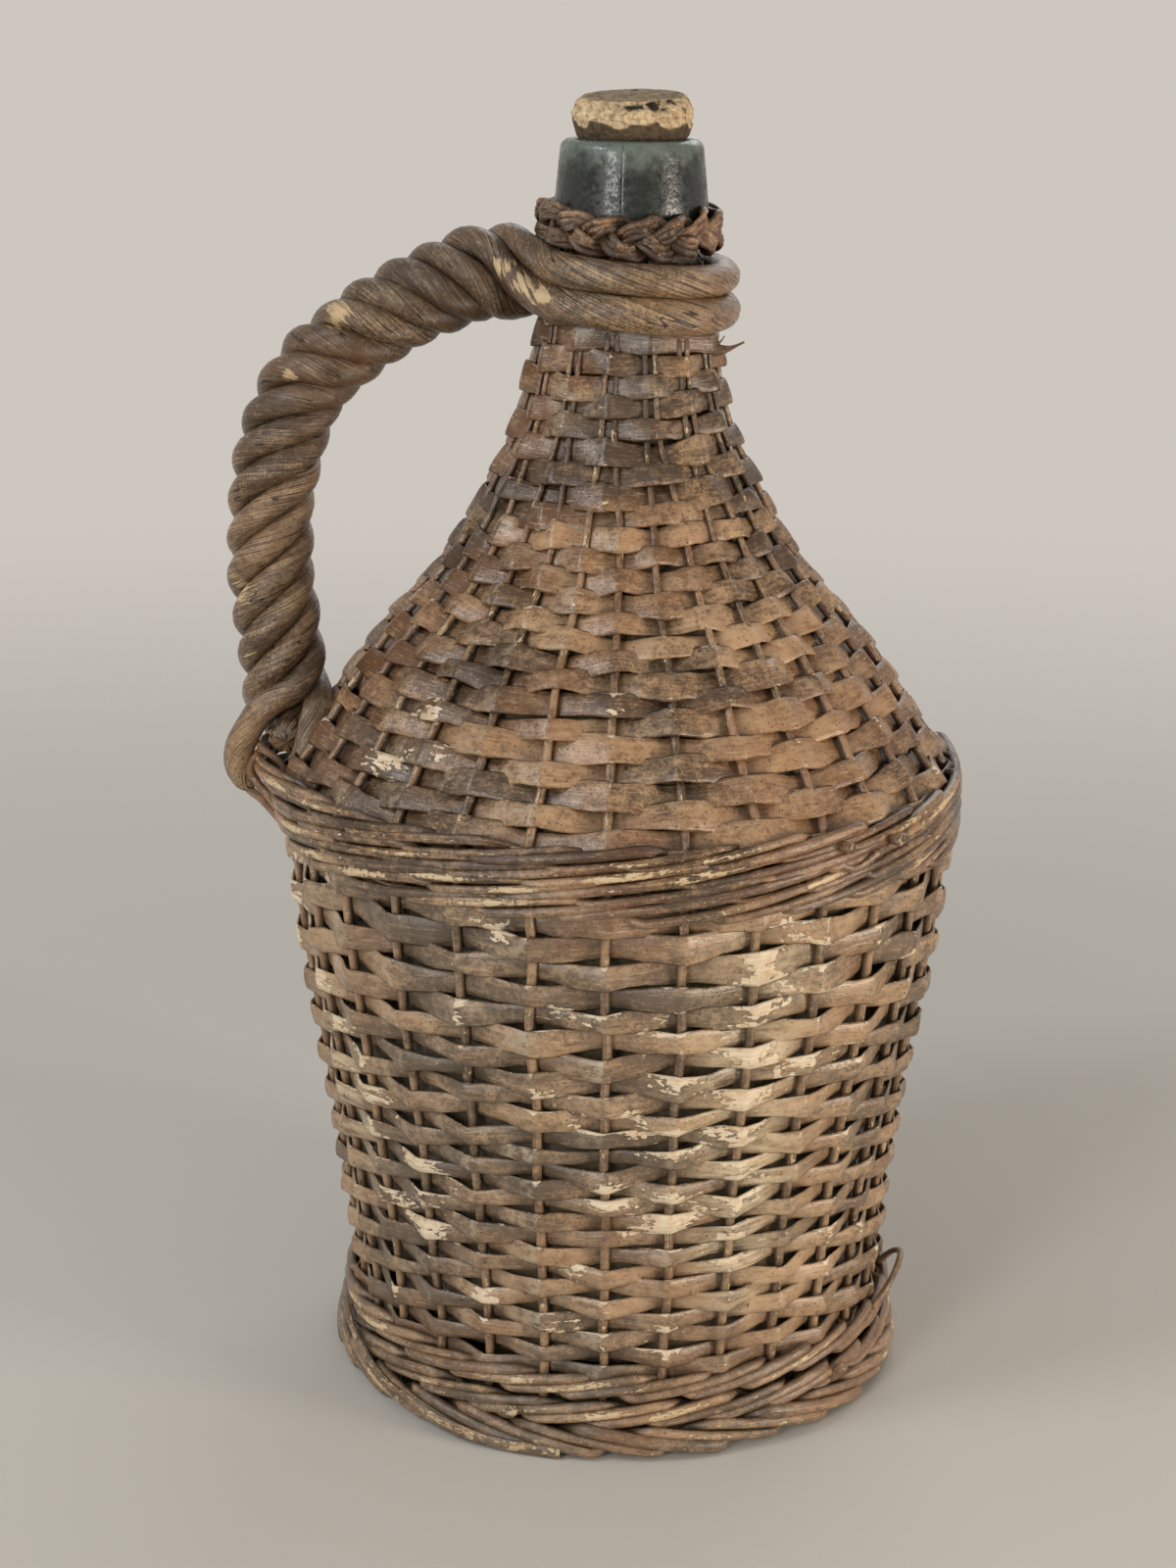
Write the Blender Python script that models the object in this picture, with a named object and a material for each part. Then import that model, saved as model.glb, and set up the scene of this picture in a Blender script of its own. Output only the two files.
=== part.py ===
"""A wicker demijohn: a ten-litre glass bottle and its cork, in a woven willow casing with a twisted handle.

The bottle's axis is the Z axis, the foot stands on Z = 0, and the handle is on the -X side.
Lengths are in metres.
"""

import math
from bisect import bisect_right

import bmesh
import bpy
from mathutils import Vector

# Fits
CLEARANCE = 0.0003  # between pieces that touch
WEAVE_CLEARANCE = 0.0006  # between the stakes and the weave's inner face

# Glass bottle
BODY_RADIUS = 0.1241  # outside, at the waist band
HEEL_RADIUS = 0.1007  # outside, above the rounded heel
HEEL_ROUNDING = 0.009
GLASS_THICKNESS = 0.0042
BOTTOM_THICKNESS = 0.0065
PUNT_HEIGHT = 0.014  # how far the bottom is pushed up inside
PUNT_WAIST_SHARE = 0.55  # of the heel's radius, where the punt's slope changes
PUNT_RISE_SHARE = 0.70  # of its height, that the punt has there
STANDING_RING_SHARE = 0.93  # of the heel's radius, where the punt begins
GLASS_NECK_RADIUS = 0.0250
LIP_HEIGHT = 0.0217
LIP_BOTTOM_RADIUS = 0.0289
LIP_TOP_RADIUS = 0.0267
LIP_ROUNDING = 0.0026
MOUTH_RADIUS = 0.0203  # of the bore at the lip's top
BORE_RADIUS = 0.0177  # of the bore below the cork's seat
SEAT_DEPTH = 0.0255  # of the tapered seat that the cork is pushed into
BOTTLE_SEGMENTS = 29

# Cork
CORK_HEAD_HEIGHT = 0.0150
CORK_HEAD_RADIUS = 0.0222
CORK_TOP_RADIUS = 0.0183
CORK_PLUG_LENGTH = 0.0235
CORK_CHAMFER = 0.0012
CORK_WAIST_SHARE = 0.50  # height of the head's widest ring, as a share of the head

# Willow stakes: the upright rods, one piece each from the foot to the neck
STAKE_COUNT = 29
FIRST_STAKE_ANGLE = math.pi  # the first stake stands behind the handle
STAKE_BUTT_RADIUS = 0.0021
STAKE_TIP_RADIUS = 0.0011
STAKE_FOOT_GAP = 0.0035  # from the ground to the stake's cut end
GLASS_GAP = 0.0011  # between the bottle and the stakes
NECK_LOOSENESS = 0.0018  # the weave stands this much further off at the top of the wall

# Weave
WEAVE_SKIN = 0.0012
WEAVE_RELIEF = 0.0014  # how far a strip stands out where it passes in front of a stake
LOWER_WALL_HEIGHT = 0.1911
UPPER_WALL_HEIGHT = 0.1685
LOWER_ROW_PITCH = 0.0083
UPPER_ROW_PITCH = 0.0081
NECK_START_SHARE = 0.62  # of the upper wall's height, where the stakes begin to pair up
PAIRED_SHARE = 0.80  # and where they stand in pairs

# Outline of the wall: (share of the height, share of the widening from the low end to the high end)
LOWER_OUTLINE_SHARES = ((0.0, 0.0), (0.25, 0.18), (0.5, 0.47), (0.75, 0.80), (1.0, 1.0))
UPPER_OUTLINE_SHARES = (
    (0.0, 0.0),
    (0.08, 0.105),
    (0.20, 0.240),
    (0.33, 0.405),
    (0.43, 0.560),
    (0.53, 0.685),
    (0.65, 0.795),
    (0.77, 0.900),
    (0.88, 0.960),
    (1.0, 1.0),
)
# Levels at which a stake bends, as shares of the lower and of the upper wall's height
LOWER_LEVEL_SHARES = (0.0, 0.5, 1.0)
UPPER_LEVEL_SHARES = (0.0, 0.09, 0.22, 0.36, 0.50, 0.62, 0.80, 1.0)

# Foot border and waist band: round rods laid round the stakes
FOOT_ROD_RADIUS = 0.0027
FOOT_ROD_COUNT = 7
FOOT_FLARE = 0.0026  # how much further out the lowest rod lies
WAIST_ROD_RADIUS = 0.00215
WAIST_ROD_COUNT = 5
EYE_ROD_COUNT = 2  # the top rods of the band, which bow out round the handle's foot
EYE_STANDOFF = 0.0090
EYE_HALF_ANGLE = math.radians(30.0)
ROD_SIDES = 6
FLAT_SHARE = math.cos(math.pi / ROD_SIDES)  # a rod's thickness across the flats that lie above and below

# Woven base
BASE_STICK_THICKNESS = 0.0050
BASE_STICK_WIDTH = 0.0052
BASE_STICK_COUNT = 8  # sticks that cross at the centre, so twice as many arms
BASE_WEAVE_THICKNESS = 0.0055

# Plait under the lip
PLAIT_STRAND_RADIUS = 0.0020
PLAIT_STRAND_COUNT = 3
PLAIT_RISE = 0.0050  # a strand's sideways swing, up and down
PLAIT_PERIODS = 5
PLAIT_POINTS_PER_PERIOD = 12

# Handle: two rods, each doubled round the neck and twisted into a four-strand rope
NECK_TILT = math.radians(4.5)  # the loops and the plait lie higher on the handle's side
LOOP_ROD_RADIUS = 0.0068
ROPE_ROD_RADIUS = 0.0050
ROPE_HELIX_RADIUS = 0.0117
ROPE_TURNS = 3 + 1 / 8  # so that a strand's place at the foot is outer, front, inner or back
ROPE_EASING = 0.020  # length over which the twist dies away at each end of the rope
LOOP_POINT_STEP = math.radians(15.0)
LOOP_SLACK = 0.0006  # between the loops and the stakes under them
JUNCTION_LENGTH = 0.0172  # from the loops' outside to the start of the twist
JUNCTION_BEND_SHARE = 0.7  # of that length, over which a rod keeps its direction at each end
JUNCTION_STEPS = 5
HANDLE_STANDOFF = 0.0064  # from the weave at the waist to the rope's centre
SPLICE_HEIGHT = 0.0300  # from the waist band's top to the end of the twist
ROPE_STEP = 0.0055
# Route of the rope's centre: (share of the way out from the neck, share of the way down)
HANDLE_ROUTE_SHARES = (
    (0.0, 0.0),
    (0.23, 0.035),
    (0.45, 0.105),
    (0.64, 0.175),
    (0.81, 0.27),
    (0.93, 0.385),
    (0.985, 0.50),
    (1.0, 0.62),
    (1.0, 0.76),
    (0.985, 0.88),
    (0.966, 1.0),
)
TAIL_ANGLE = math.radians(19.0)  # round the waist, from the handle's plane to each inner tail
TAIL_TIP_SHARE = 0.75  # of the rod's thickness, at a tail's tip
TAIL_BEND_SHARE = 0.40  # how far each end of a tail keeps its direction, as a share of the splice's height
STUB_BEND_SHARE = 0.30
HOOK_BEND_SHARE = 0.33
HOOK_CURL_SHARE = 0.6  # of the way across under the eye, over which the hook levels out
HOOK_STANDOFF = 0.0010  # from the eye to the hook outside it

WILLOW = ("willow_brown", (0.204, 0.108, 0.050), 0.55)
WEAVER = ("willow_skein", (0.235, 0.130, 0.064), 0.50)
HANDLE = ("handle_rod", (0.250, 0.148, 0.072), 0.50)
CORK = ("cork_bark", (0.480, 0.290, 0.125), 0.90)
GLASS = ("green_glass", (0.020, 0.042, 0.035), 0.15)


def material(look):
    """The Principled material of that name, made once."""
    name, colour, roughness = look
    made = bpy.data.materials.get(name)
    if made is None:
        made = bpy.data.materials.new(name)
        made.use_nodes = True
        shader = made.node_tree.nodes["Principled BSDF"]
        shader.inputs["Base Color"].default_value = (*colour, 1.0)
        shader.inputs["Roughness"].default_value = roughness
        shader.inputs["Metallic"].default_value = 0.0
    return made


def add_object(name, data, look):
    data.materials.append(material(look))
    made = bpy.data.objects.new(name, data)
    bpy.context.scene.collection.objects.link(made)
    return made


def finish_mesh(name, mesh_edit, look):
    """An object from a bmesh, with its faces pointing out."""
    bmesh.ops.recalc_face_normals(mesh_edit, faces=mesh_edit.faces)
    mesh = bpy.data.meshes.new(name)
    mesh_edit.to_mesh(mesh)
    mesh_edit.free()
    return add_object(name, mesh, look)


def turned(name, profile, segments, look):
    """A body of revolution, whose profile runs through (radius, height) points from axis to axis."""
    edit = bmesh.new()
    points = [edit.verts.new((radius, 0, height)) for radius, height in profile]
    edges = [edit.edges.new(pair) for pair in zip(points, points[1:])]
    bmesh.ops.spin(
        edit,
        geom=points + edges,
        cent=(0, 0, 0),
        axis=(0, 0, 1),
        angle=math.tau,
        steps=segments,
        use_merge=True,
    )
    bmesh.ops.remove_doubles(edit, verts=edit.verts, dist=CLEARANCE / 30)
    made = finish_mesh(name, edit, look)
    made.data.shade_smooth()
    made.data.set_sharp_from_angle(angle=math.radians(35))
    return made


def rod(name, path, radii, look, cyclic=False, sides=ROD_SIDES):
    """A round rod along path, whose radius at each point is in radii."""
    curve = bpy.data.curves.new(name, "CURVE")
    curve.dimensions = "3D"
    curve.bevel_depth = max(radii)
    curve.bevel_resolution = (sides - 4) // 2
    curve.use_fill_caps = not cyclic
    spline = curve.splines.new("POLY")
    spline.points.add(len(path) - 1)
    for point, place, radius in zip(spline.points, path, radii):
        point.co = (*place, 1.0)
        point.radius = radius / curve.bevel_depth
    spline.use_cyclic_u = cyclic
    spline.use_smooth = True
    return add_object(name, curve, look)


def smooth_table(table, share):
    """The value at share on a smooth curve through the table's points, which rise or fall steadily."""
    inputs = [entry[0] for entry in table]
    values = [entry[1] for entry in table]
    slopes = [(values[i + 1] - values[i]) / (inputs[i + 1] - inputs[i]) for i in range(len(table) - 1)]
    tangents = [slopes[0]] + [(a + b) / 2 for a, b in zip(slopes, slopes[1:])] + [slopes[-1]]
    at = min(max(bisect_right(inputs, share) - 1, 0), len(table) - 2)
    width = inputs[at + 1] - inputs[at]
    t = (share - inputs[at]) / width
    rise = values[at + 1] - values[at]
    return (
        values[at]
        + (3 * t * t - 2 * t**3) * rise
        + (t**3 - 2 * t * t + t) * width * tangents[at]
        + (t**3 - t * t) * width * tangents[at + 1]
    )


def ease(share):
    """0 to 1, level at both ends."""
    share = min(max(share, 0.0), 1.0)
    return share * share * (3 - 2 * share)


def on_circle(radius, angle, height):
    return Vector((radius * math.cos(angle), radius * math.sin(angle), height))


# Heights of the stack, from the ground up
ROD_PITCH_FOOT = 2 * FOOT_ROD_RADIUS * FLAT_SHARE + CLEARANCE
ROD_PITCH_WAIST = 2 * WAIST_ROD_RADIUS * FLAT_SHARE + CLEARANCE
FOOT_TOP = FOOT_ROD_COUNT * ROD_PITCH_FOOT
WAIST_BOTTOM = FOOT_TOP + LOWER_WALL_HEIGHT
WAIST_TOP = WAIST_BOTTOM + WAIST_ROD_COUNT * ROD_PITCH_WAIST
WALL_TOP = WAIST_TOP + UPPER_WALL_HEIGHT
NECK_START = WAIST_TOP + UPPER_WALL_HEIGHT * NECK_START_SHARE
PAIRED_HEIGHT = WAIST_TOP + UPPER_WALL_HEIGHT * PAIRED_SHARE
BASE_TOP = BASE_STICK_THICKNESS + CLEARANCE + BASE_WEAVE_THICKNESS

# Radii of the layers, from the glass outwards
STAKE_OFFSET = GLASS_GAP + STAKE_BUTT_RADIUS  # from the glass to a stake's centre
WALL_BUILD = STAKE_OFFSET + STAKE_BUTT_RADIUS + WEAVE_CLEARANCE + WEAVE_SKIN + WEAVE_RELIEF
NECK_STAKE_RADIUS = GLASS_NECK_RADIUS + CLEARANCE + STAKE_TIP_RADIUS  # of the stakes' circle above the wall
LOOP_INNER_RADIUS = NECK_STAKE_RADIUS + STAKE_TIP_RADIUS + LOOP_SLACK
LOOP_RADIUS = (LOOP_INNER_RADIUS + LOOP_ROD_RADIUS) / math.cos(LOOP_POINT_STEP / 2)
TILT_DROP = math.tan(NECK_TILT) * (LOOP_RADIUS + LOOP_ROD_RADIUS)

# Heights at the neck, on the bottle's axis
LOWER_LOOP = WALL_TOP + CLEARANCE + TILT_DROP + LOOP_ROD_RADIUS
UPPER_LOOP = LOWER_LOOP + 2 * LOOP_ROD_RADIUS + CLEARANCE
LOOP_MIDDLE = (LOWER_LOOP + UPPER_LOOP) / 2
PLAIT_HALF_HEIGHT = PLAIT_RISE + PLAIT_STRAND_RADIUS
PLAIT_HEIGHT = UPPER_LOOP + LOOP_ROD_RADIUS + CLEARANCE + PLAIT_HALF_HEIGHT
PLAIT_SWING = (2 * PLAIT_STRAND_RADIUS + 3 * CLEARANCE) / math.sqrt(3)  # in and out, to clear at a crossing
PLAIT_REACH = PLAIT_SWING * math.sin(math.radians(60))  # the swing at the strands' own points
PLAIT_RADIUS = GLASS_NECK_RADIUS + CLEARANCE + PLAIT_STRAND_RADIUS + PLAIT_REACH
PLAIT_OUTER = PLAIT_RADIUS + PLAIT_REACH + PLAIT_STRAND_RADIUS
LIP_BOTTOM = PLAIT_HEIGHT + PLAIT_HALF_HEIGHT + math.tan(NECK_TILT) * PLAIT_OUTER + CLEARANCE
LIP_TOP = LIP_BOTTOM + LIP_HEIGHT

LEVELS = [FOOT_TOP + LOWER_WALL_HEIGHT * share for share in LOWER_LEVEL_SHARES] + [
    WAIST_TOP + UPPER_WALL_HEIGHT * share for share in UPPER_LEVEL_SHARES
]


def glass_radius(height):
    """The bottle's outside radius under the woven wall."""
    if height <= WAIST_TOP:
        share = min(max((height - FOOT_TOP) / LOWER_WALL_HEIGHT, 0.0), 1.0)
        return HEEL_RADIUS + (BODY_RADIUS - HEEL_RADIUS) * smooth_table(LOWER_OUTLINE_SHARES, share)
    share = min((height - WAIST_TOP) / UPPER_WALL_HEIGHT, 1.0)
    narrowing = BODY_RADIUS - GLASS_NECK_RADIUS - CLEARANCE
    return BODY_RADIUS - narrowing * smooth_table(UPPER_OUTLINE_SHARES, share)


def looseness(height):
    """How much further off the glass the casing stands, growing up the neck."""
    return NECK_LOOSENESS * ease((height - NECK_START) / (WALL_TOP - NECK_START))


def wall_radius(height):
    """The outside of the weave, at the crests of its strips."""
    return glass_radius(height) + WALL_BUILD + looseness(height)


def stake_radius(height):
    """A stake's own radius, which tapers from its butt at the foot to its tip at the neck."""
    share = min(max((height - WAIST_TOP) / UPPER_WALL_HEIGHT, 0.0), 1.0)
    return STAKE_BUTT_RADIUS + (STAKE_TIP_RADIUS - STAKE_BUTT_RADIUS) * share


def stake_circle(height):
    """The radius of the circle that the stakes' centres stand on."""
    inner_face = wall_radius(height) - WEAVE_RELIEF - WEAVE_SKIN
    return inner_face - WEAVE_CLEARANCE - stake_radius(height)


def stake_angle(number, height):
    """Where a stake stands round the bottle. The stakes pair up on the neck."""
    even = FIRST_STAKE_ANGLE + math.tau * number / STAKE_COUNT
    group = number // 2
    groups = (STAKE_COUNT + 1) // 2
    middle = FIRST_STAKE_ANGLE + math.tau * (group / groups + 0.5 / STAKE_COUNT)
    is_single = number == STAKE_COUNT - 1
    side = 0 if is_single else (-1 if number % 2 == 0 else 1)
    beside = side * (STAKE_TIP_RADIUS + CLEARANCE) / GLASS_NECK_RADIUS
    paired = ease((height - NECK_START) / (PAIRED_HEIGHT - NECK_START))
    return even + (middle + beside - even) * paired


def make_bottle():
    """The glass bottle: heel, body, neck and applied lip, hollow, with its bottom pushed up."""
    foot = BASE_TOP + CLEARANCE
    heel_centre = HEEL_RADIUS - HEEL_ROUNDING
    punt_waist = heel_centre * PUNT_WAIST_SHARE
    punt_rise = PUNT_HEIGHT * PUNT_RISE_SHARE
    standing_ring = heel_centre * STANDING_RING_SHARE
    outside = [(0.0, foot + PUNT_HEIGHT), (punt_waist, foot + punt_rise), (standing_ring, foot)]
    for turn in (0, 30, 60, 90):
        angle = math.radians(turn)
        ring = heel_centre + HEEL_ROUNDING * math.sin(angle)
        outside.append((ring, foot + HEEL_ROUNDING * (1 - math.cos(angle))))
    outside += [(glass_radius(level), level) for level in LEVELS]
    outside.append((GLASS_NECK_RADIUS, WALL_TOP + STAKE_BUTT_RADIUS))
    outside.append((GLASS_NECK_RADIUS, LIP_BOTTOM))
    outside.append((LIP_BOTTOM_RADIUS, LIP_BOTTOM))
    for turn in (0, 45, 90):
        angle = math.radians(turn)
        ring = LIP_TOP_RADIUS - LIP_ROUNDING * (1 - math.cos(angle))
        outside.append((ring, LIP_TOP - LIP_ROUNDING * (1 - math.sin(angle))))
    inside = [(MOUTH_RADIUS, LIP_TOP), (BORE_RADIUS, LIP_TOP - SEAT_DEPTH), (BORE_RADIUS, WALL_TOP)]
    inside += [(glass_radius(level) - GLASS_THICKNESS, level) for level in reversed(LEVELS[:-1])]
    floor = foot + BOTTOM_THICKNESS
    inside += [
        (HEEL_RADIUS - GLASS_THICKNESS, foot + HEEL_ROUNDING + BOTTOM_THICKNESS),
        (heel_centre, floor),
        (punt_waist, floor + punt_rise),
        (0.0, floor + PUNT_HEIGHT),
    ]
    turned("bottle", outside + inside, BOTTLE_SEGMENTS, GLASS)


def seat_radius(depth):
    """The bore's radius at a depth below the lip's top."""
    return MOUTH_RADIUS - (MOUTH_RADIUS - BORE_RADIUS) * depth / SEAT_DEPTH


def make_cork():
    """The cork: a plug that tapers with the bottle's seat, and a barrelled head above the lip."""
    shank = seat_radius(0) - CLEARANCE
    tip = seat_radius(CORK_PLUG_LENGTH) - CLEARANCE
    profile = [
        (0.0, LIP_TOP - CORK_PLUG_LENGTH),
        (tip - CORK_CHAMFER, LIP_TOP - CORK_PLUG_LENGTH),
        (tip, LIP_TOP - CORK_PLUG_LENGTH + CORK_CHAMFER),
        (shank, LIP_TOP),
        (CORK_HEAD_RADIUS, LIP_TOP + CORK_HEAD_HEIGHT * CORK_WAIST_SHARE),
        (CORK_TOP_RADIUS, LIP_TOP + CORK_HEAD_HEIGHT),
        (0.0, LIP_TOP + CORK_HEAD_HEIGHT),
    ]
    turned("cork", profile, BOTTLE_SEGMENTS, CORK)


def make_base():
    """The base: a star of sticks pierced through each other at the centre, and the woven disc on it."""
    reach = stake_circle(FOOT_TOP) - STAKE_BUTT_RADIUS - CLEARANCE
    arms = 2 * BASE_STICK_COUNT
    half = BASE_STICK_WIDTH / 2
    notch = half / math.sin(math.pi / arms)  # where two neighbouring arms meet
    edit = bmesh.new()
    outline = []
    for arm in range(arms):
        angle = math.tau * arm / arms
        along = Vector((math.cos(angle), math.sin(angle), 0))
        across = Vector((-math.sin(angle), math.cos(angle), 0))
        outline.append(edit.verts.new(along * reach - across * half))
        outline.append(edit.verts.new(along * reach + across * half))
        outline.append(edit.verts.new(on_circle(notch, angle + math.pi / arms, 0)))
    face = edit.faces.new(outline)
    grown = bmesh.ops.extrude_face_region(edit, geom=[face])
    top = [item for item in grown["geom"] if isinstance(item, bmesh.types.BMVert)]
    bmesh.ops.translate(edit, verts=top, vec=(0, 0, BASE_STICK_THICKNESS))
    finish_mesh("base_sticks", edit, WILLOW)
    low = BASE_STICK_THICKNESS + CLEARANCE
    disc = [(0.0, low), (reach, low), (reach, BASE_TOP), (0.0, BASE_TOP)]
    turned("base_weave", disc, STAKE_COUNT, WEAVER)


def make_stakes():
    """The stakes, bent to the bottle and thinned under the handle's loops."""
    tip_height = PLAIT_HEIGHT - PLAIT_HALF_HEIGHT - math.tan(NECK_TILT) * PLAIT_OUTER - CLEARANCE
    for number in range(STAKE_COUNT):
        path = [on_circle(stake_circle(FOOT_TOP), stake_angle(number, 0), STAKE_FOOT_GAP)]
        radii = [STAKE_BUTT_RADIUS]
        for level in LEVELS:
            path.append(on_circle(stake_circle(level), stake_angle(number, level), level))
            radii.append(stake_radius(level))
        for height in (LOWER_LOOP - LOOP_ROD_RADIUS - TILT_DROP + STAKE_BUTT_RADIUS, tip_height):
            path.append(on_circle(NECK_STAKE_RADIUS, stake_angle(number, height), height))
            radii.append(STAKE_TIP_RADIUS)
        rod(f"stake_{number + 1:02d}", path, radii, WILLOW, sides=4)


def row_heights(low, high, pitch):
    """The heights of the weave's rows, evenly spaced along the sloping wall."""
    steps = 200
    samples = [low + (high - low) * i / steps for i in range(steps + 1)]
    lengths = [0.0]
    for a, b in zip(samples, samples[1:]):
        lengths.append(lengths[-1] + math.hypot(b - a, wall_radius(b) - wall_radius(a)))
    rows = max(2, round(lengths[-1] / pitch))
    heights = []
    for row in range(rows):
        target = lengths[-1] * (row + 0.5) / rows
        at = bisect_right(lengths, target) - 1
        inner = (target - lengths[at]) / (lengths[at + 1] - lengths[at])
        heights.append(samples[at] + (samples[at + 1] - samples[at]) * inner)
    return heights


def woven_wall(name, low, high, pitch, angles):
    """A wall of weave between two heights. At each angle, every other row stands out before its stake."""
    edit = bmesh.new()
    rings = []

    def add_ring(radii, height):
        places = [on_circle(radius, angle, height) for radius, angle in zip(radii, angles)]
        rings.append([edit.verts.new(place) for place in places])

    add_ring([wall_radius(low) - WEAVE_RELIEF] * len(angles), low)
    for row, height in enumerate(row_heights(low, high, pitch)):
        crest = wall_radius(height)
        add_ring([crest - WEAVE_RELIEF * ((row + place) % 2) for place in range(len(angles))], height)
    add_ring([wall_radius(high) - WEAVE_RELIEF] * len(angles), high)
    between = [level for level in reversed(LEVELS) if low < level < high]
    inner_levels = [high] + between + [low]
    for level in inner_levels:
        add_ring([wall_radius(level) - WEAVE_RELIEF - WEAVE_SKIN] * len(angles), level)
    count = len(angles)
    for ring, following in zip(rings, rings[1:] + rings[:1]):
        for place in range(count):
            after = (place + 1) % count
            edit.faces.new((ring[place], ring[after], following[after], following[place]))
    finish_mesh(name, edit, WEAVER)


def make_weave():
    """The three walls of weave: below the waist, over the shoulder, and on the neck, round paired stakes."""
    single = [stake_angle(number, 0) for number in range(STAKE_COUNT)]
    groups = (STAKE_COUNT + 1) // 2
    first = FIRST_STAKE_ANGLE + math.pi / STAKE_COUNT
    paired = [first + math.tau * place / (2 * groups) for place in range(2 * groups)]
    woven_wall("lower_weave", FOOT_TOP, WAIST_BOTTOM - CLEARANCE, LOWER_ROW_PITCH, single)
    woven_wall("shoulder_weave", WAIST_TOP, NECK_START, UPPER_ROW_PITCH, single)
    woven_wall("neck_weave", NECK_START + CLEARANCE, WALL_TOP, UPPER_ROW_PITCH, paired)


def band_rod(name, height, radius, rod_radius, bow=0.0):
    """A rod laid round the stakes, with a corner at each stake. bow pushes it out on the handle's side."""
    path = []
    for number in range(STAKE_COUNT):
        angle = stake_angle(number, 0)
        from_handle = math.acos(-math.cos(angle))
        out = bow * (0.5 + 0.5 * math.cos(math.pi * min(from_handle / EYE_HALF_ANGLE, 1.0)))
        path.append(on_circle(radius + out, angle, height))
    rod(name, path, [rod_radius] * len(path), WILLOW, cyclic=True)


def make_bands():
    """The foot border, which flares to the ground, and the waist band with its eye for the handle."""
    foot_radius = stake_circle(FOOT_TOP) + STAKE_BUTT_RADIUS + CLEARANCE + FOOT_ROD_RADIUS
    for number in range(FOOT_ROD_COUNT):
        height = FOOT_ROD_RADIUS * FLAT_SHARE + number * ROD_PITCH_FOOT
        flare = FOOT_FLARE * (1 - number / (FOOT_ROD_COUNT - 1)) ** 2
        band_rod(f"foot_rod_{number + 1}", height, foot_radius + flare, FOOT_ROD_RADIUS)
    waist_radius = stake_circle(WAIST_BOTTOM) + STAKE_BUTT_RADIUS + CLEARANCE + WAIST_ROD_RADIUS
    for number in range(WAIST_ROD_COUNT):
        height = WAIST_BOTTOM + WAIST_ROD_RADIUS * FLAT_SHARE + number * ROD_PITCH_WAIST
        bow = EYE_STANDOFF if number >= WAIST_ROD_COUNT - EYE_ROD_COUNT else 0.0
        band_rod(f"waist_rod_{number + 1}", height, waist_radius, WAIST_ROD_RADIUS, bow)


def tilted(place):
    """A point of the level neck rings, moved to the slope at which they lie."""
    return Vector((place.x, place.y, place.z - math.tan(NECK_TILT) * place.x))


def make_plait():
    """The plait under the lip: three strands, each swinging in and out twice for each swing up and down."""
    points = PLAIT_PERIODS * PLAIT_POINTS_PER_PERIOD
    for strand in range(PLAIT_STRAND_COUNT):
        path = []
        for number in range(points):
            phase = math.tau * (number / PLAIT_POINTS_PER_PERIOD + strand / PLAIT_STRAND_COUNT)
            radius = PLAIT_RADIUS + PLAIT_SWING * math.sin(2 * phase)
            height = PLAIT_HEIGHT + PLAIT_RISE * math.sin(phase)
            path.append(tilted(on_circle(radius, math.tau * number / points, height)))
        rod(f"plait_strand_{strand + 1}", path, [PLAIT_STRAND_RADIUS] * points, WILLOW, cyclic=True)


def bezier(start, start_pull, end_pull, end, count):
    """count points on a cubic curve after start, the last one at end."""
    made = []
    for number in range(1, count + 1):
        t = number / count
        left = 1 - t
        made.append(start * left**3 + start_pull * 3 * t * left**2 + end_pull * 3 * t**2 * left + end * t**3)
    return made


# The rope runs from its foot above the waist band up to its junction beside the loops
JUNCTION_X = -(LOOP_RADIUS + LOOP_ROD_RADIUS + JUNCTION_LENGTH)
JUNCTION_Z = LOOP_MIDDLE - math.tan(NECK_TILT) * JUNCTION_X
WAIST_WALL_RADIUS = wall_radius(WAIST_TOP)
ROPE_REACH_X = -(WAIST_WALL_RADIUS + HANDLE_STANDOFF)
ROPE_FOOT_Z = WAIST_TOP + SPLICE_HEIGHT


def rope_centre():
    """Evenly spaced points of the rope's centre line, from its foot to the junction."""
    corners = []
    for out, down in HANDLE_ROUTE_SHARES:
        x = JUNCTION_X + (ROPE_REACH_X - JUNCTION_X) * out
        z = JUNCTION_Z + (ROPE_FOOT_Z - JUNCTION_Z) * down
        corners.append(Vector((x, 0, z)))
    corners.reverse()
    padded = [2 * corners[0] - corners[1]] + corners + [2 * corners[-1] - corners[-2]]
    fine = [corners[0]]
    for a, b, c, d in zip(padded, padded[1:], padded[2:], padded[3:]):
        fine += bezier(b, b + (c - a) / 6, c - (d - b) / 6, c, 12)
    lengths = [0.0]
    for a, b in zip(fine, fine[1:]):
        lengths.append(lengths[-1] + (b - a).length)
    count = max(8, round(lengths[-1] / ROPE_STEP))
    even = []
    for number in range(count + 1):
        target = lengths[-1] * number / count
        at = min(bisect_right(lengths, target) - 1, len(fine) - 2)
        inner = (target - lengths[at]) / (lengths[at + 1] - lengths[at])
        even.append(fine[at].lerp(fine[at + 1], inner))
    return even, lengths[-1]


def twist_share(along, length):
    """The share of the rope's twist made by a distance along it. The twist dies away at each end."""

    def turned_by(distance):
        if distance < ROPE_EASING:
            return distance * distance / (2 * ROPE_EASING)
        return distance - ROPE_EASING / 2

    whole = length - ROPE_EASING
    if along > length / 2:
        return 1 - turned_by(length - along) / whole
    return turned_by(along) / whole


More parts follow.
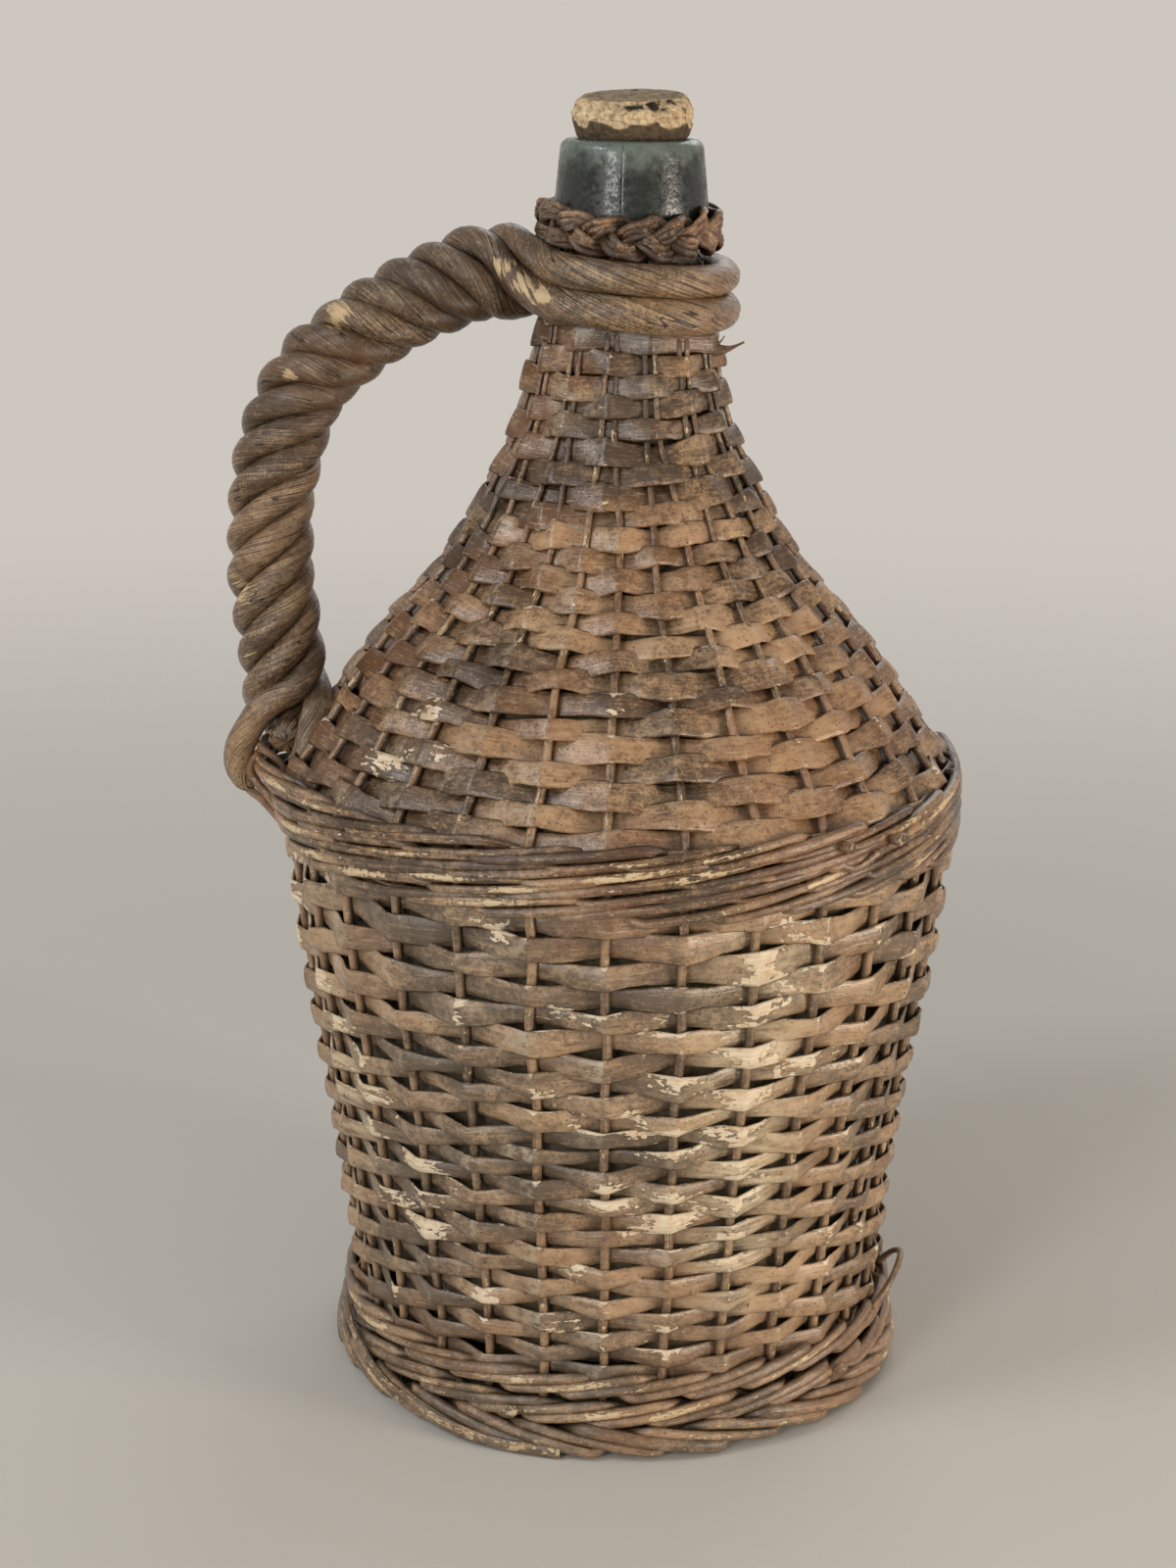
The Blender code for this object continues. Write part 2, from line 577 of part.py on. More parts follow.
def rope_strand(end_phase):
    """The points of one strand from the rope's foot to the junction. Phase 0 is the rope's outer side."""
    centre, length = rope_centre()
    last = len(centre) - 1
    strand = []
    for number, point in enumerate(centre):
        forward = (centre[min(number + 1, last)] - centre[max(number - 1, 0)]).normalized()
        outward = Vector((-forward.z, 0, forward.x))
        toward_front = forward.cross(outward)
        phase = end_phase - math.tau * ROPE_TURNS * (1 - twist_share(length * number / last, length))
        aside = outward * math.cos(phase) + toward_front * math.sin(phase)
        strand.append(point + ROPE_HELIX_RADIUS * aside)
    return strand


def loop_points(height):
    """The loop round the neck from the front of the handle's side, by the far side, to its back."""
    tangent_angle = math.pi + math.acos(LOOP_RADIUS / -JUNCTION_X)
    span = 2 * (2 * math.pi - tangent_angle)
    count = round(span / LOOP_POINT_STEP)
    angles = [tangent_angle + span * step / count for step in range(count + 1)]
    return [tilted(on_circle(LOOP_RADIUS, angle, height)) for angle in angles]


def joined(strand_front, loop, strand_back):
    """One rod: up the rope's front strand, round the neck, and back down its back strand."""
    pull = JUNCTION_LENGTH * JUNCTION_BEND_SHARE
    leave = (strand_front[-1] - strand_front[-2]).normalized()
    enter = (strand_back[-1] - strand_back[-2]).normalized()
    first = (loop[1] - loop[0]).normalized()
    final = (loop[-1] - loop[-2]).normalized()
    steps = JUNCTION_STEPS
    start, end = strand_front[-1], strand_back[-1]
    lead_in = bezier(start, start + leave * pull, loop[0] - first * pull, loop[0], steps)
    lead_out = bezier(loop[-1], loop[-1] + final * pull, end + enter * pull, end, steps)
    path = strand_front + lead_in[:-1] + loop + lead_out[:-1] + strand_back[::-1]
    radii = [ROPE_ROD_RADIUS] * len(strand_front)
    gain = LOOP_ROD_RADIUS - ROPE_ROD_RADIUS
    swell = [ROPE_ROD_RADIUS + gain * ease(step / steps) for step in range(1, steps)]
    radii += swell + [LOOP_ROD_RADIUS] * len(loop) + swell[::-1] + [ROPE_ROD_RADIUS] * len(strand_back)
    return path, radii


def tapered(count):
    """The radii of a free end's points after the rope's foot."""
    loss = ROPE_ROD_RADIUS * (1 - TAIL_TIP_SHARE)
    return [ROPE_ROD_RADIUS - loss * step / count for step in range(1, count + 1)]


def tail(strand, end, bend_share, count):
    """The free end of a strand below the rope, from its tip, upright at end, to the rope's foot."""
    leave = (strand[0] - strand[1]).normalized()
    pull = SPLICE_HEIGHT * bend_share
    ankle = end + Vector((0, 0, ROPE_ROD_RADIUS))
    down = bezier(strand[0], strand[0] + leave * pull, ankle + Vector((0, 0, pull)), ankle, count) + [end]
    radii = tapered(count)
    radii.append(radii[-1])
    return down[::-1], radii[::-1]


def hooked_end(strand):
    """The free end that hooks under the waist band's eye from outside, from its tip to the rope's foot."""
    tip_radius = ROPE_ROD_RADIUS * TAIL_TIP_SHARE
    eye_wall = stake_circle(WAIST_BOTTOM) + STAKE_BUTT_RADIUS + CLEARANCE + EYE_STANDOFF
    eye_outer = eye_wall + 2 * WAIST_ROD_RADIUS
    eye_bottom = WAIST_TOP - EYE_ROD_COUNT * ROD_PITCH_WAIST
    side = Vector((-(eye_outer + HOOK_STANDOFF + ROPE_ROD_RADIUS), 0, WAIST_TOP))
    tip = Vector((-(eye_wall + WAIST_ROD_RADIUS), 0, eye_bottom - CLEARANCE - tip_radius))
    pull = SPLICE_HEIGHT * HOOK_BEND_SHARE
    leave = (strand[0] - strand[1]).normalized()
    hook = bezier(strand[0], strand[0] + leave * pull, side + Vector((0, 0, pull)), side, 4)
    corner = Vector((side.x, 0, tip.z))
    hook += bezier(side, corner, corner.lerp(tip, 1 - HOOK_CURL_SHARE), tip, 4)
    return hook[::-1], tapered(len(hook))[::-1]


def least_gap(path_a, radii_a, path_b, radii_b):
    """The least distance between the surfaces of two rods, measured on their points."""
    pairs = [(a, ra, b, rb) for a, ra in zip(path_a, radii_a) for b, rb in zip(path_b, radii_b)]
    return min((a - b).length - ra - rb for a, ra, b, rb in pairs)


def make_handle():
    """The handle's two rods. Rod A takes the upper loop and the hook, and rod B takes the lower loop."""
    strands = [rope_strand(math.pi / 4 + math.pi / 2 * place) for place in range(4)]
    front_upper, front_lower, back_lower, back_upper = strands
    seat = WAIST_TOP + CLEARANCE
    beside = wall_radius(seat) + CLEARANCE + ROPE_ROD_RADIUS
    stub_foot = on_circle(beside + CLEARANCE, math.pi, seat)
    stub, stub_radii = tail(front_lower, stub_foot, STUB_BEND_SHARE, 4)
    inner_front = on_circle(beside, math.pi + TAIL_ANGLE, seat)
    tail_front, front_radii = tail(back_lower, inner_front, TAIL_BEND_SHARE, 5)
    inner_back = on_circle(beside, math.pi - TAIL_ANGLE, seat)
    tail_back, back_radii = tail(back_upper, inner_back, TAIL_BEND_SHARE, 5)
    hook, hook_radii = hooked_end(front_upper)

    path_a, radii_a = joined(front_upper, loop_points(UPPER_LOOP), back_upper)
    path_a = hook + path_a + tail_back[::-1]
    radii_a = hook_radii + radii_a + back_radii[::-1]
    path_b, radii_b = joined(front_lower, loop_points(LOWER_LOOP), back_lower)
    path_b = stub + path_b + tail_front[::-1]
    radii_b = stub_radii + radii_b + front_radii[::-1]
    rod("handle_rod_a", path_a, radii_a, HANDLE)
    rod("handle_rod_b", path_b, radii_b, HANDLE)
    between = least_gap(path_a, radii_a, path_b, radii_b)
    print(f"least gap between the handle's rods: {1000 * between:.2f} mm")
    for name, first, second in (("a", front_upper, back_upper), ("b", front_lower, back_lower)):
        width = [ROPE_ROD_RADIUS] * len(first)
        print(f"least gap of rod {name} to itself: {1000 * least_gap(first, width, second, width):.2f} mm")


def main():
    for old in list(bpy.data.objects):
        bpy.data.objects.remove(old, do_unlink=True)
    make_bottle()
    make_cork()
    make_base()
    make_stakes()
    make_weave()
    make_bands()
    make_plait()
    make_handle()
    print(f"lip top {LIP_TOP:.4f} m, overall height {LIP_TOP + CORK_HEAD_HEIGHT:.4f} m")


main()
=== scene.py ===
# %% [markdown]
# # A demijohn in its wicker casing
# A demijohn is a big narrow-necked bottle. This one stands in a basket that was woven round it: upright stakes,
# walls of split willow, bands of round rods at the foot and the waist, a plait under the lip and a rope handle.
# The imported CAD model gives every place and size. This script gives the same pieces their true surface, and reads
# nothing but that model.

# %% The frame
import math

import bpy
import numpy as np
from mathutils import Matrix, Vector


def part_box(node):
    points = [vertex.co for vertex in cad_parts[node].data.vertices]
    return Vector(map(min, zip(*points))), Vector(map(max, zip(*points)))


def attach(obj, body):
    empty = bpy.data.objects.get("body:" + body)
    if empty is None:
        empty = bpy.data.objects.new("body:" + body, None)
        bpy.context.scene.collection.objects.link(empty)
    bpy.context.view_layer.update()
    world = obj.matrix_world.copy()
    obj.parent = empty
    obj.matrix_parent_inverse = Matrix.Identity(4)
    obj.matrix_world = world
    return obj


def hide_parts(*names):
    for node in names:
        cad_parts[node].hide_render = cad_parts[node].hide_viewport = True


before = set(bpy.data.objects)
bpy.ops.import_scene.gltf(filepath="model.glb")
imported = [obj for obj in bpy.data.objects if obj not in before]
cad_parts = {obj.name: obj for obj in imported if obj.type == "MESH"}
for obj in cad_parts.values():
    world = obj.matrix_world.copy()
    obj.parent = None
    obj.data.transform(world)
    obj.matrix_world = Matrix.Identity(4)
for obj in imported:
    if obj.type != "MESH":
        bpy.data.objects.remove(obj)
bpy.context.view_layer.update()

MM = 0.001

# %% [markdown]
# ## Reading the casing's outline from the frame
# All the wickerwork follows one outline, so it is read once. Each row of the CAD walls is a ring of vertices that
# stand out and in by turns. The ones that stand out are the crests of the real strips. A table of those rings,
# read with `np.interp`, gives the radius at any height. The numbers could be typed in instead, but then a change to
# the CAD would leave the weave floating.

# %% The outline of the wall
def corners(node):
    """The different vertices of a CAD node, one row each."""
    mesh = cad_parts[node].data
    flat = np.empty(3 * len(mesh.vertices), np.float32)
    mesh.vertices.foreach_get("co", flat)
    return np.unique(np.round(flat.reshape(-1, 3).astype(float), 5), axis=0)


def rings(places):
    """The height, the least radius and the greatest radius of each level ring of vertices."""
    heights, ring = np.unique(places[:, 2], return_inverse=True)
    radii = np.hypot(places[:, 0], places[:, 1])
    least = np.full(len(heights), np.inf)
    greatest = np.zeros(len(heights))
    np.minimum.at(least, ring.ravel(), radii)
    np.maximum.at(greatest, ring.ravel(), radii)
    return heights, least, greatest


ROW_RELIEF = 1.3 * MM  # a row's ring stands in and out by at least this much
row_rings = []
for wall in ("lower_weave", "shoulder_weave", "neck_weave"):
    heights, least, greatest = rings(corners(wall))
    is_row = greatest - least > ROW_RELIEF
    row_rings.append(np.stack([heights[is_row], greatest[is_row]], axis=1))
row_rings = np.concatenate(row_rings)

WALL_LOW, WAIST_LOW = (corner.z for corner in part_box("lower_weave"))
WAIST_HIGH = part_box("shoulder_weave")[0].z
NECK_LOW, WALL_HIGH = (corner.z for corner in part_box("neck_weave"))


def crest(height):
    """The radius at which the strips' outer faces stand over the stakes."""
    return np.interp(height, row_rings[:, 0], row_rings[:, 1])


def slope(height):
    """The wall's outward direction at a height, as its radial and its upward part."""
    step = 4 * MM
    widening = (crest(height + step) - crest(height - step)) / (2 * step)
    size = np.hypot(1.0, widening)
    return 1.0 / size, -widening / size


print("walls from", round(WALL_LOW / MM, 1), "to", round(WALL_HIGH / MM, 1), "mm")
print("widest", round(crest(WAIST_LOW) / MM, 1), "mm from the axis")

# %% The stakes' lines
STAKE_COUNT = sum(node.startswith("stake_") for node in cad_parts)
STAKE_PITCH = math.tau / STAKE_COUNT
FIRST_STAKE = math.pi  # the first stake stands behind the handle
stake_lines = []
for number in range(STAKE_COUNT):
    places = corners(f"stake_{number + 1:02d}")
    places = places[np.argsort(places[:, 2])].reshape(-1, 4, 3).mean(axis=1)
    even = FIRST_STAKE + STAKE_PITCH * number
    turned = np.arctan2(places[:, 1], places[:, 0]) - even
    angle = even + (turned + math.pi) % math.tau - math.pi
    stake_lines.append(np.stack([places[:, 2], np.hypot(places[:, 0], places[:, 1]), angle], axis=1))
stake_lines = np.array(stake_lines)
line_heights = stake_lines[:, :, 0].mean(axis=0)
line_radii = stake_lines[:, :, 1].mean(axis=0)


def stake_angle(number, height):
    """Where stake number stands round the bottle at a height, between its two nearest levels in the table."""
    at = np.clip(np.searchsorted(line_heights, height) - 1, 0, len(line_heights) - 2)
    share = np.clip((height - line_heights[at]) / (line_heights[at + 1] - line_heights[at]), 0, 1)
    return stake_lines[number, at, 2] * (1 - share) + stake_lines[number, at + 1, 2] * share


STAKE_BUTT = 2.1 * MM
STAKE_TIP = 1.15 * MM


def stake_radius(height):
    """A stake tapers from its butt below the waist to its tip at the neck."""
    return np.interp(height, [WAIST_HIGH, WALL_HIGH], [STAKE_BUTT, STAKE_TIP])


print("stakes:", STAKE_COUNT)

# %% [markdown]
# ## Making surfaces with numpy
# Every piece here is a profile carried along a path. The whole surface is one array, with a row for each step along
# the path and a column for each point of the profile. `sweep` works out those places and `piece` turns them into a
# mesh, closes its ends, faces it outwards, and stores a `grain` map in real metres along and across the willow.
# Colours need to know more than a place: `marks` are numbers kept on the vertices, such as how worn a spot is. A
# curve object with a bevel could draw the rods too, but it can't hold such marks.

# %% Sweep and piece
def unit(vectors):
    """The vectors with their lengths made 1."""
    return vectors / np.linalg.norm(vectors, axis=-1, keepdims=True)


def polar(radius, angle, height):
    """Places given by their distance from the bottle's axis, their angle round it and their height."""
    return np.stack(np.broadcast_arrays(radius * np.cos(angle), radius * np.sin(angle), height), axis=-1)


def lengths(path):
    """The distance travelled to each point of a path."""
    steps = np.linalg.norm(np.diff(path, axis=0), axis=1)
    return np.concatenate([[0.0], np.cumsum(steps)])


def directions(path, closed=False):
    """The direction of travel at each point of a path: from the point before it to the point after it."""
    if closed:
        return unit(np.roll(path, -1, axis=0) - np.roll(path, 1, axis=0))
    return unit(np.gradient(path, axis=0))


def sweep(path, outward, profile_across, profile_out, width, thickness, closed=False):
    """places[i, j] = path[i] + across[i] * profile_across[j] * width[i, j] + out[i] * profile_out[j] * thickness[i, j].
    out is the wanted outward direction made square to the path, and across is square to both."""
    forward = directions(path, closed)
    out = unit(outward - (outward * forward).sum(axis=1, keepdims=True) * forward)
    across = np.cross(forward, out)
    along_across = (width * profile_across)[:, :, None] * across[:, None, :]
    along_out = (thickness * profile_out)[:, :, None] * out[:, None, :]
    return path[:, None, :] + along_across + along_out


def piece(name, places, look, body="vessel", closed=False, marks=None, grain=None, replaced=()):
    """A mesh from a grid of places. Columns close on themselves. Rows close too, or the ends get a cap each. grain is
    the distance along of each row, the distance across of each column, and how much the grain slants."""
    rows, columns = places.shape[:2]
    row, column = np.meshgrid(np.arange(rows if closed else rows - 1), np.arange(columns), indexing="ij")
    corner_rows = np.stack([row, row, row + 1, row + 1], axis=-1).reshape(-1, 4)
    corner_columns = np.stack([column, column + 1, column + 1, column], axis=-1).reshape(-1, 4)
    quads = corner_rows % rows * columns + corner_columns % columns
    vertices = places.reshape(-1, 3)
    caps = np.empty((0, 3), int)
    if not closed:
        around = np.arange(columns)
        onward = (around + 1) % columns
        last = (rows - 1) * columns
        near = np.stack([onward, around, np.full(columns, rows * columns)], axis=1)
        far = np.stack([around + last, onward + last, np.full(columns, rows * columns + 1)], axis=1)
        caps = np.concatenate([near, far])
        vertices = np.concatenate([vertices, [places[0].mean(axis=0), places[-1].mean(axis=0)]])
    halves = np.concatenate([quads[:, [0, 1, 2]], quads[:, [0, 2, 3]], caps])
    a, b, c = (vertices[halves[:, i]] for i in range(3))
    if (np.cross(a, b) * c).sum() < 0:  # the volume inside comes out negative, so the faces look inwards
        quads, caps = quads[:, ::-1], caps[:, ::-1]
        corner_rows, corner_columns = corner_rows[:, ::-1], corner_columns[:, ::-1]
    mesh = bpy.data.meshes.new(name)
    mesh.from_pydata(vertices.tolist(), [], quads.tolist() + caps.tolist())
    girth = np.linalg.norm(places - np.roll(places, 1, axis=1), axis=2).sum(axis=1).mean()
    along, across, slant = grain or (lengths(places.mean(axis=1)), np.linspace(0, girth, columns + 1), 0.0)
    along = np.append(along, along[-1] + along[1] - along[0])
    end_u = np.repeat([along[0], along[-2]], 3 * columns)[: 3 * len(caps)]
    end_v = np.tile(np.repeat(across[:-1], 3), 2)[: 3 * len(caps)]
    u = np.concatenate([along[corner_rows].ravel(), end_u])
    v = np.concatenate([(across[corner_columns] + slant * along[corner_rows]).ravel(), end_v])
    mesh.uv_layers.new(name="grain").data.foreach_set("uv", np.stack([u, v], axis=1).ravel())
    for mark, values in (marks or {}).items():
        values = np.broadcast_to(values, (rows, columns)).ravel()
        values = np.append(values, [values[0], values[-1]][: len(vertices) - len(values)])
        mesh.attributes.new(mark, "FLOAT", "POINT").data.foreach_set("value", values.astype(np.float32))
    mesh.polygons.foreach_set("use_smooth", np.ones(len(mesh.polygons), bool))
    mesh.materials.append(look)
    made = bpy.data.objects.new(name, mesh)
    bpy.context.scene.collection.objects.link(made)
    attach(made, body)
    if replaced:
        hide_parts(*replaced)
    return made


ring = polar(1.0, np.linspace(0, math.tau, 65), 0.0)
print("a ring of radius 1 in 64 steps is", round(lengths(ring)[-1], 4), "long, and tau is", round(math.tau, 4))

# %% [markdown]
# ## Nothing on a basket is even
# Straight or evenly waved rods look like plastic. Two kinds of steady irregularity are enough: a wave that wanders
# along a length, and a soft noise over a surface, read from a table of random numbers. Both are seeded, so the basket
# is the same each time.

# %% Wander and noise
def wander(at, period, seed):
    """A smooth irregular wave of about that period, mostly between -1 and 1: a sum of five seeded sines."""
    draw = np.random.default_rng(seed)
    periods = period * draw.uniform(0.55, 1.8, 5)
    starts = draw.uniform(0, math.tau, 5)
    return sum(np.sin(math.tau * at / p + s) for p, s in zip(periods, starts)) / 2.2


NOISE_CELLS = 256


def noise(along, across, seed):
    """Soft noise from -1 to 1, one cell per unit: four table values, blended by smoothed shares of the cell."""
    table = np.random.default_rng(seed).uniform(-1, 1, (NOISE_CELLS, NOISE_CELLS))
    i, j = np.floor(along).astype(int), np.floor(across).astype(int)
    s, t = along - i, across - j
    s, t = s * s * (3 - 2 * s), t * t * (3 - 2 * t)
    i, j = i % NOISE_CELLS, j % NOISE_CELLS
    k, m = (i + 1) % NOISE_CELLS, (j + 1) % NOISE_CELLS
    return (table[i, j] * (1 - s) + table[k, j] * s) * (1 - t) + (table[i, m] * (1 - s) + table[k, m] * s) * t


def ease(share):
    """0 to 1, level at both ends."""
    share = np.clip(share, 0, 1)
    return share * share * (3 - 2 * share)


def band(value, low, low_blend, high, high_blend):
    """1 well between low and high, falling to 0 at both over the lengths of the blends."""
    return ease((value - low) / low_blend) * ease((high - value) / high_blend)


def hump(distance, reach):
    """1 where the distance is 0, falling off on both sides over the reach."""
    return np.exp(-((distance / reach) ** 2))


def beside(angle, centre, reach):
    """A hump round an angle. All three are in degrees."""
    return hump((angle - centre + 180) % 360 - 180, reach)


sample = noise(np.arange(2000) / 7, np.arange(2000) / 11, 1)
print("noise from", round(sample.min(), 2), "to", round(sample.max(), 2))

# %% [markdown]
# ## Willow, in four finishes
# The casing is willow in its brown skin. Split strips are shaved from the rod, so they keep the skin outside. Old
# willow skin is matt and a little waxy. It has fine lines along the grain, greys with dust in places, and flakes off at
# the folds to show pale wood. Painted shade darkens it in the crossings, and a painted sheen lies beside some folds.
# All four finishes share those traits and differ in scale and colour, so one function makes them. A picture of willow
# could be wrapped round each piece, but it would repeat, and nodes can follow each strip's own length.

# %% Colours and nodes
def linear(colour):
    """An sRGB hex colour as the linear values that a shader takes."""
    parts = np.array([int(colour[i : i + 2], 16) for i in (1, 3, 5)]) / 255
    return (*np.where(parts <= 0.04045, parts / 12.92, ((parts + 0.055) / 1.055) ** 2.4), 1.0)


def feed(node, inputs):
    """Gives each input of a node its value or hex colour, or links the output that feeds it."""
    for key, value in inputs.items():
        if isinstance(value, bpy.types.NodeSocket):
            node.id_data.links.new(value, node.inputs[key])
        else:
            node.inputs[key].default_value = linear(value) if isinstance(value, str) else value


def add(tree, kind, inputs=None, out=0, **settings):
    """A new node in the tree, with its settings and inputs. What comes back is one of its outputs."""
    made = tree.nodes.new(kind)
    for key, value in settings.items():
        setattr(made, key, value)
    feed(made, inputs or {})
    return made.outputs[out]


def new_material(name):
    """A material, its node tree and its shader node."""
    made = bpy.data.materials.new(name)
    made.use_nodes = True
    return made, made.node_tree, made.node_tree.nodes["Principled BSDF"]


def soft_share(tree, *thresholds, times=None):
    """A product of soft thresholds. Each is a value, where it begins and ends to pass, and the shares there, which
    are 0 and 1 unless they are given."""
    for threshold in thresholds:
        passed = add(tree, "ShaderNodeMapRange", dict(enumerate(threshold)), interpolation_type="SMOOTHSTEP")
        if times is not None:
            passed = add(tree, "ShaderNodeMath", {0: times, 1: passed}, operation="MULTIPLY")
        times = passed
    return times


def total(tree, start, *parts):
    """The start plus each part, which is a weight and a value."""
    for weight, value in parts:
        start = add(tree, "ShaderNodeMath", {0: value, 1: weight, 2: start}, operation="MULTIPLY_ADD")
    return start


def painted(tree, colour, *layers):
    """A colour with layers over it. Each is the share of it that shows, and its colour."""
    for shown, layer in layers:
        colour = add(tree, "ShaderNodeMix", {0: shown, 6: colour, 7: layer}, out=2, data_type="RGBA")
    return colour


print("the hex grey #808080 is", round(linear("#808080")[0], 3), "of white in linear light")

# %% The willow finish
def willow(name, light, dark, red, bare, line, flake, cracks=0.0, roughness=0.44, fibre=1.0, dust=0.3, clouding=1.0):
    """Weathered willow. line is the length and width of one line of its grain, and flake the length and width of a
    spot of lost skin, in metres. cracks is how many of the drying cracks show, fibre how strong the lines are, dust
    how grey the duller spots are, and clouding how much its tone changes from spot to spot."""
    made, tree, shader = new_material(name)
    grain = add(tree, "ShaderNodeUVMap", uv_map="grain")
    place = add(tree, "ShaderNodeTexCoord", out="Object")
    height = add(tree, "ShaderNodeSeparateXYZ", {0: place}, out="Z")
    marks = {}
    for mark in ("tone", "bloom_and_painted_sheen", "bleach_and_painted_light", "wear", "shade"):
        marks[mark] = add(tree, "ShaderNodeAttribute", out="Fac", attribute_name=mark)

    # Soft noises: what each follows, the size of its cells, its detail and its roughness
    noises = {
        "lines": (grain, line, 3.0, 0.55),
        "hairs": (grain, (line[0] / 3, line[1] / 3), 3.0, 0.65),
        "blotches": (place, (21 * MM, 21 * MM, 16 * MM), 3.0, 0.55),
        "mottle": (place, (4.4 * MM, 4.4 * MM, 3.2 * MM), 4.0, 0.66),
        "specks": (place, (1.1 * MM, 1.1 * MM, 1.1 * MM), 2.0, 0.55),
        "patches": (place, (70 * MM, 70 * MM, 50 * MM), 2.0, 0.55),
        "streaks": (grain, (15 * MM, 2.6 * MM), 4.0, 0.65),
        "scratches": (grain, (9 * MM, 0.5 * MM), 2.0, 0.55),
        "smoke": (place, (9 * MM, 9 * MM, 7 * MM), 2.0, 0.55),
        "flakes": (grain, flake, 4.0, 0.62),
        "crumbs": (grain, (flake[0] / 4, flake[1] / 3), 3.0, 0.55),
        "veins": (grain, (line[0] * 3, line[1] * 1.3), 1.0, 0.55),
        "wide_veins": (grain, (34 * MM, 4.5 * MM), 1.0, 0.55),
        "dry_spots": (place, (13 * MM, 13 * MM, 11 * MM), 2.0, 0.55),
    }
    soft = {}
    for key, (source, size, detail, rough) in noises.items():
        factors = [1 / extent for extent in size] + [0.0] * (3 - len(size))
        vector = add(tree, "ShaderNodeVectorMath", {0: source, 1: factors}, operation="MULTIPLY")
        inputs = {"Vector": vector, "Scale": 1.0, "Detail": detail, "Roughness": rough}
        soft[key] = add(tree, "ShaderNodeTexNoise", inputs)
    for key in ("veins", "wide_veins"):  # a noise crosses its middle along thin lines
        away = add(tree, "ShaderNodeMath", {0: soft[key], 1: 0.5}, operation="SUBTRACT")
        soft[key] = add(tree, "ShaderNodeMath", {0: away}, operation="ABSOLUTE")
    lines, hairs, blotches, mottle = (soft[key] for key in ("lines", "hairs", "blotches", "mottle"))
    specks, patches = soft["specks"], soft["patches"]

    # The skin
    # Paler and greyer low on the wall. Darker near the neck and above it, which is painted shade
    paler_low_down = soft_share(tree, (height, 250 * MM, 205 * MM))
    painted_neck_shade = soft_share(tree, (height, 340 * MM, 400 * MM))
    middle = 0.28 - 0.5 * (3.7 * clouding + 1.3) - 1.1 * fibre
    skin = total(
        tree, middle, (1.1 * clouding, blotches), (1.7 * clouding, mottle), (0.9 * clouding, patches), (1.3, specks),
        (1.3 * fibre, lines), (0.9 * fibre, hairs), (0.34, marks["tone"]), (0.08, paler_low_down), (-0.28, painted_neck_shade),
    )
    brown = painted(tree, dark, (soft_share(tree, (skin, -0.15, 1.15)), light))
    reddish = painted(tree, brown, (0.55, red))
    # Painted sheen: the bloom mark greys the skin beside the folds that face the front-left window, as a waxy bloom
    # would and as that window's sheen does. The film adds it to dust in blotches and low on the wall.
    bloom_and_painted_sheen = soft_share(tree, (mottle, 0.40, 0.56), times=marks["bloom_and_painted_sheen"])
    film = soft_share(tree, (blotches, 0.44, 0.66, 0.0, dust), (mottle, 0.36, 0.60))
    film = total(tree, film, (0.14, paler_low_down), (0.75, bloom_and_painted_sheen))
    # Bleached streaks; at the right front of the casing they are also painted light
    bleach_and_light_share = soft_share(tree, (soft["streaks"], 0.36, 0.60), times=marks["bleach_and_painted_light"])
    scratched = soft_share(tree, (soft["scratches"], 0.60, 0.68), (patches, 0.40, 0.60, 0.25, 0.7))
    darkened = soft_share(tree, (specks, 0.55, 0.66), (soft["smoke"], 0.50, 0.64, 0.0, 0.75))

    # Where the skin is lost, pale wood shows inside a dark rim
    flaking = total(tree, 0.0, (0.62, soft["flakes"]), (0.38, soft["crumbs"]), (0.34, marks["wear"]))
    lost = soft_share(tree, (flaking, 0.686, 0.700))
    edge = {0: soft_share(tree, (flaking, 0.640, 0.690)), 1: lost}
    rim = add(tree, "ShaderNodeMath", edge, operation="SUBTRACT", use_clamp=True)
    streaky = soft_share(tree, (lines, 0.35, 0.65))
    spotted = soft_share(tree, (mottle, 0.48, 0.64, 0.0, 0.6))
    hairy = soft_share(tree, (hairs, 0.56, 0.66, 0.0, 0.7))
    pale = painted(tree, bare, (streaky, painted(tree, bare, (0.35, light))), (spotted, light), (hairy, light))

    # Insect pits, drying cracks and slits
    factors = (1 / (4.2 * MM), 1 / (3.1 * MM), 0.0)
    cell = add(tree, "ShaderNodeVectorMath", {0: grain, 1: factors}, operation="MULTIPLY")
    pits = add(tree, "ShaderNodeTexVoronoi", {"Vector": cell, "Scale": 1.0, "Randomness": 1.0}, out="Distance")
    pit = soft_share(tree, (pits, 0.13, 0.07), (mottle, 0.50, 0.56, 0.0, 0.8))
    crack = soft_share(tree, (soft["veins"], 0.030, 0.006), (blotches, 0.42, 0.56, 0.0, cracks))
    slit = soft_share(tree, (soft["wide_veins"], 0.020, 0.008), (soft["dry_spots"], 0.55, 0.60, 0.0, cracks))
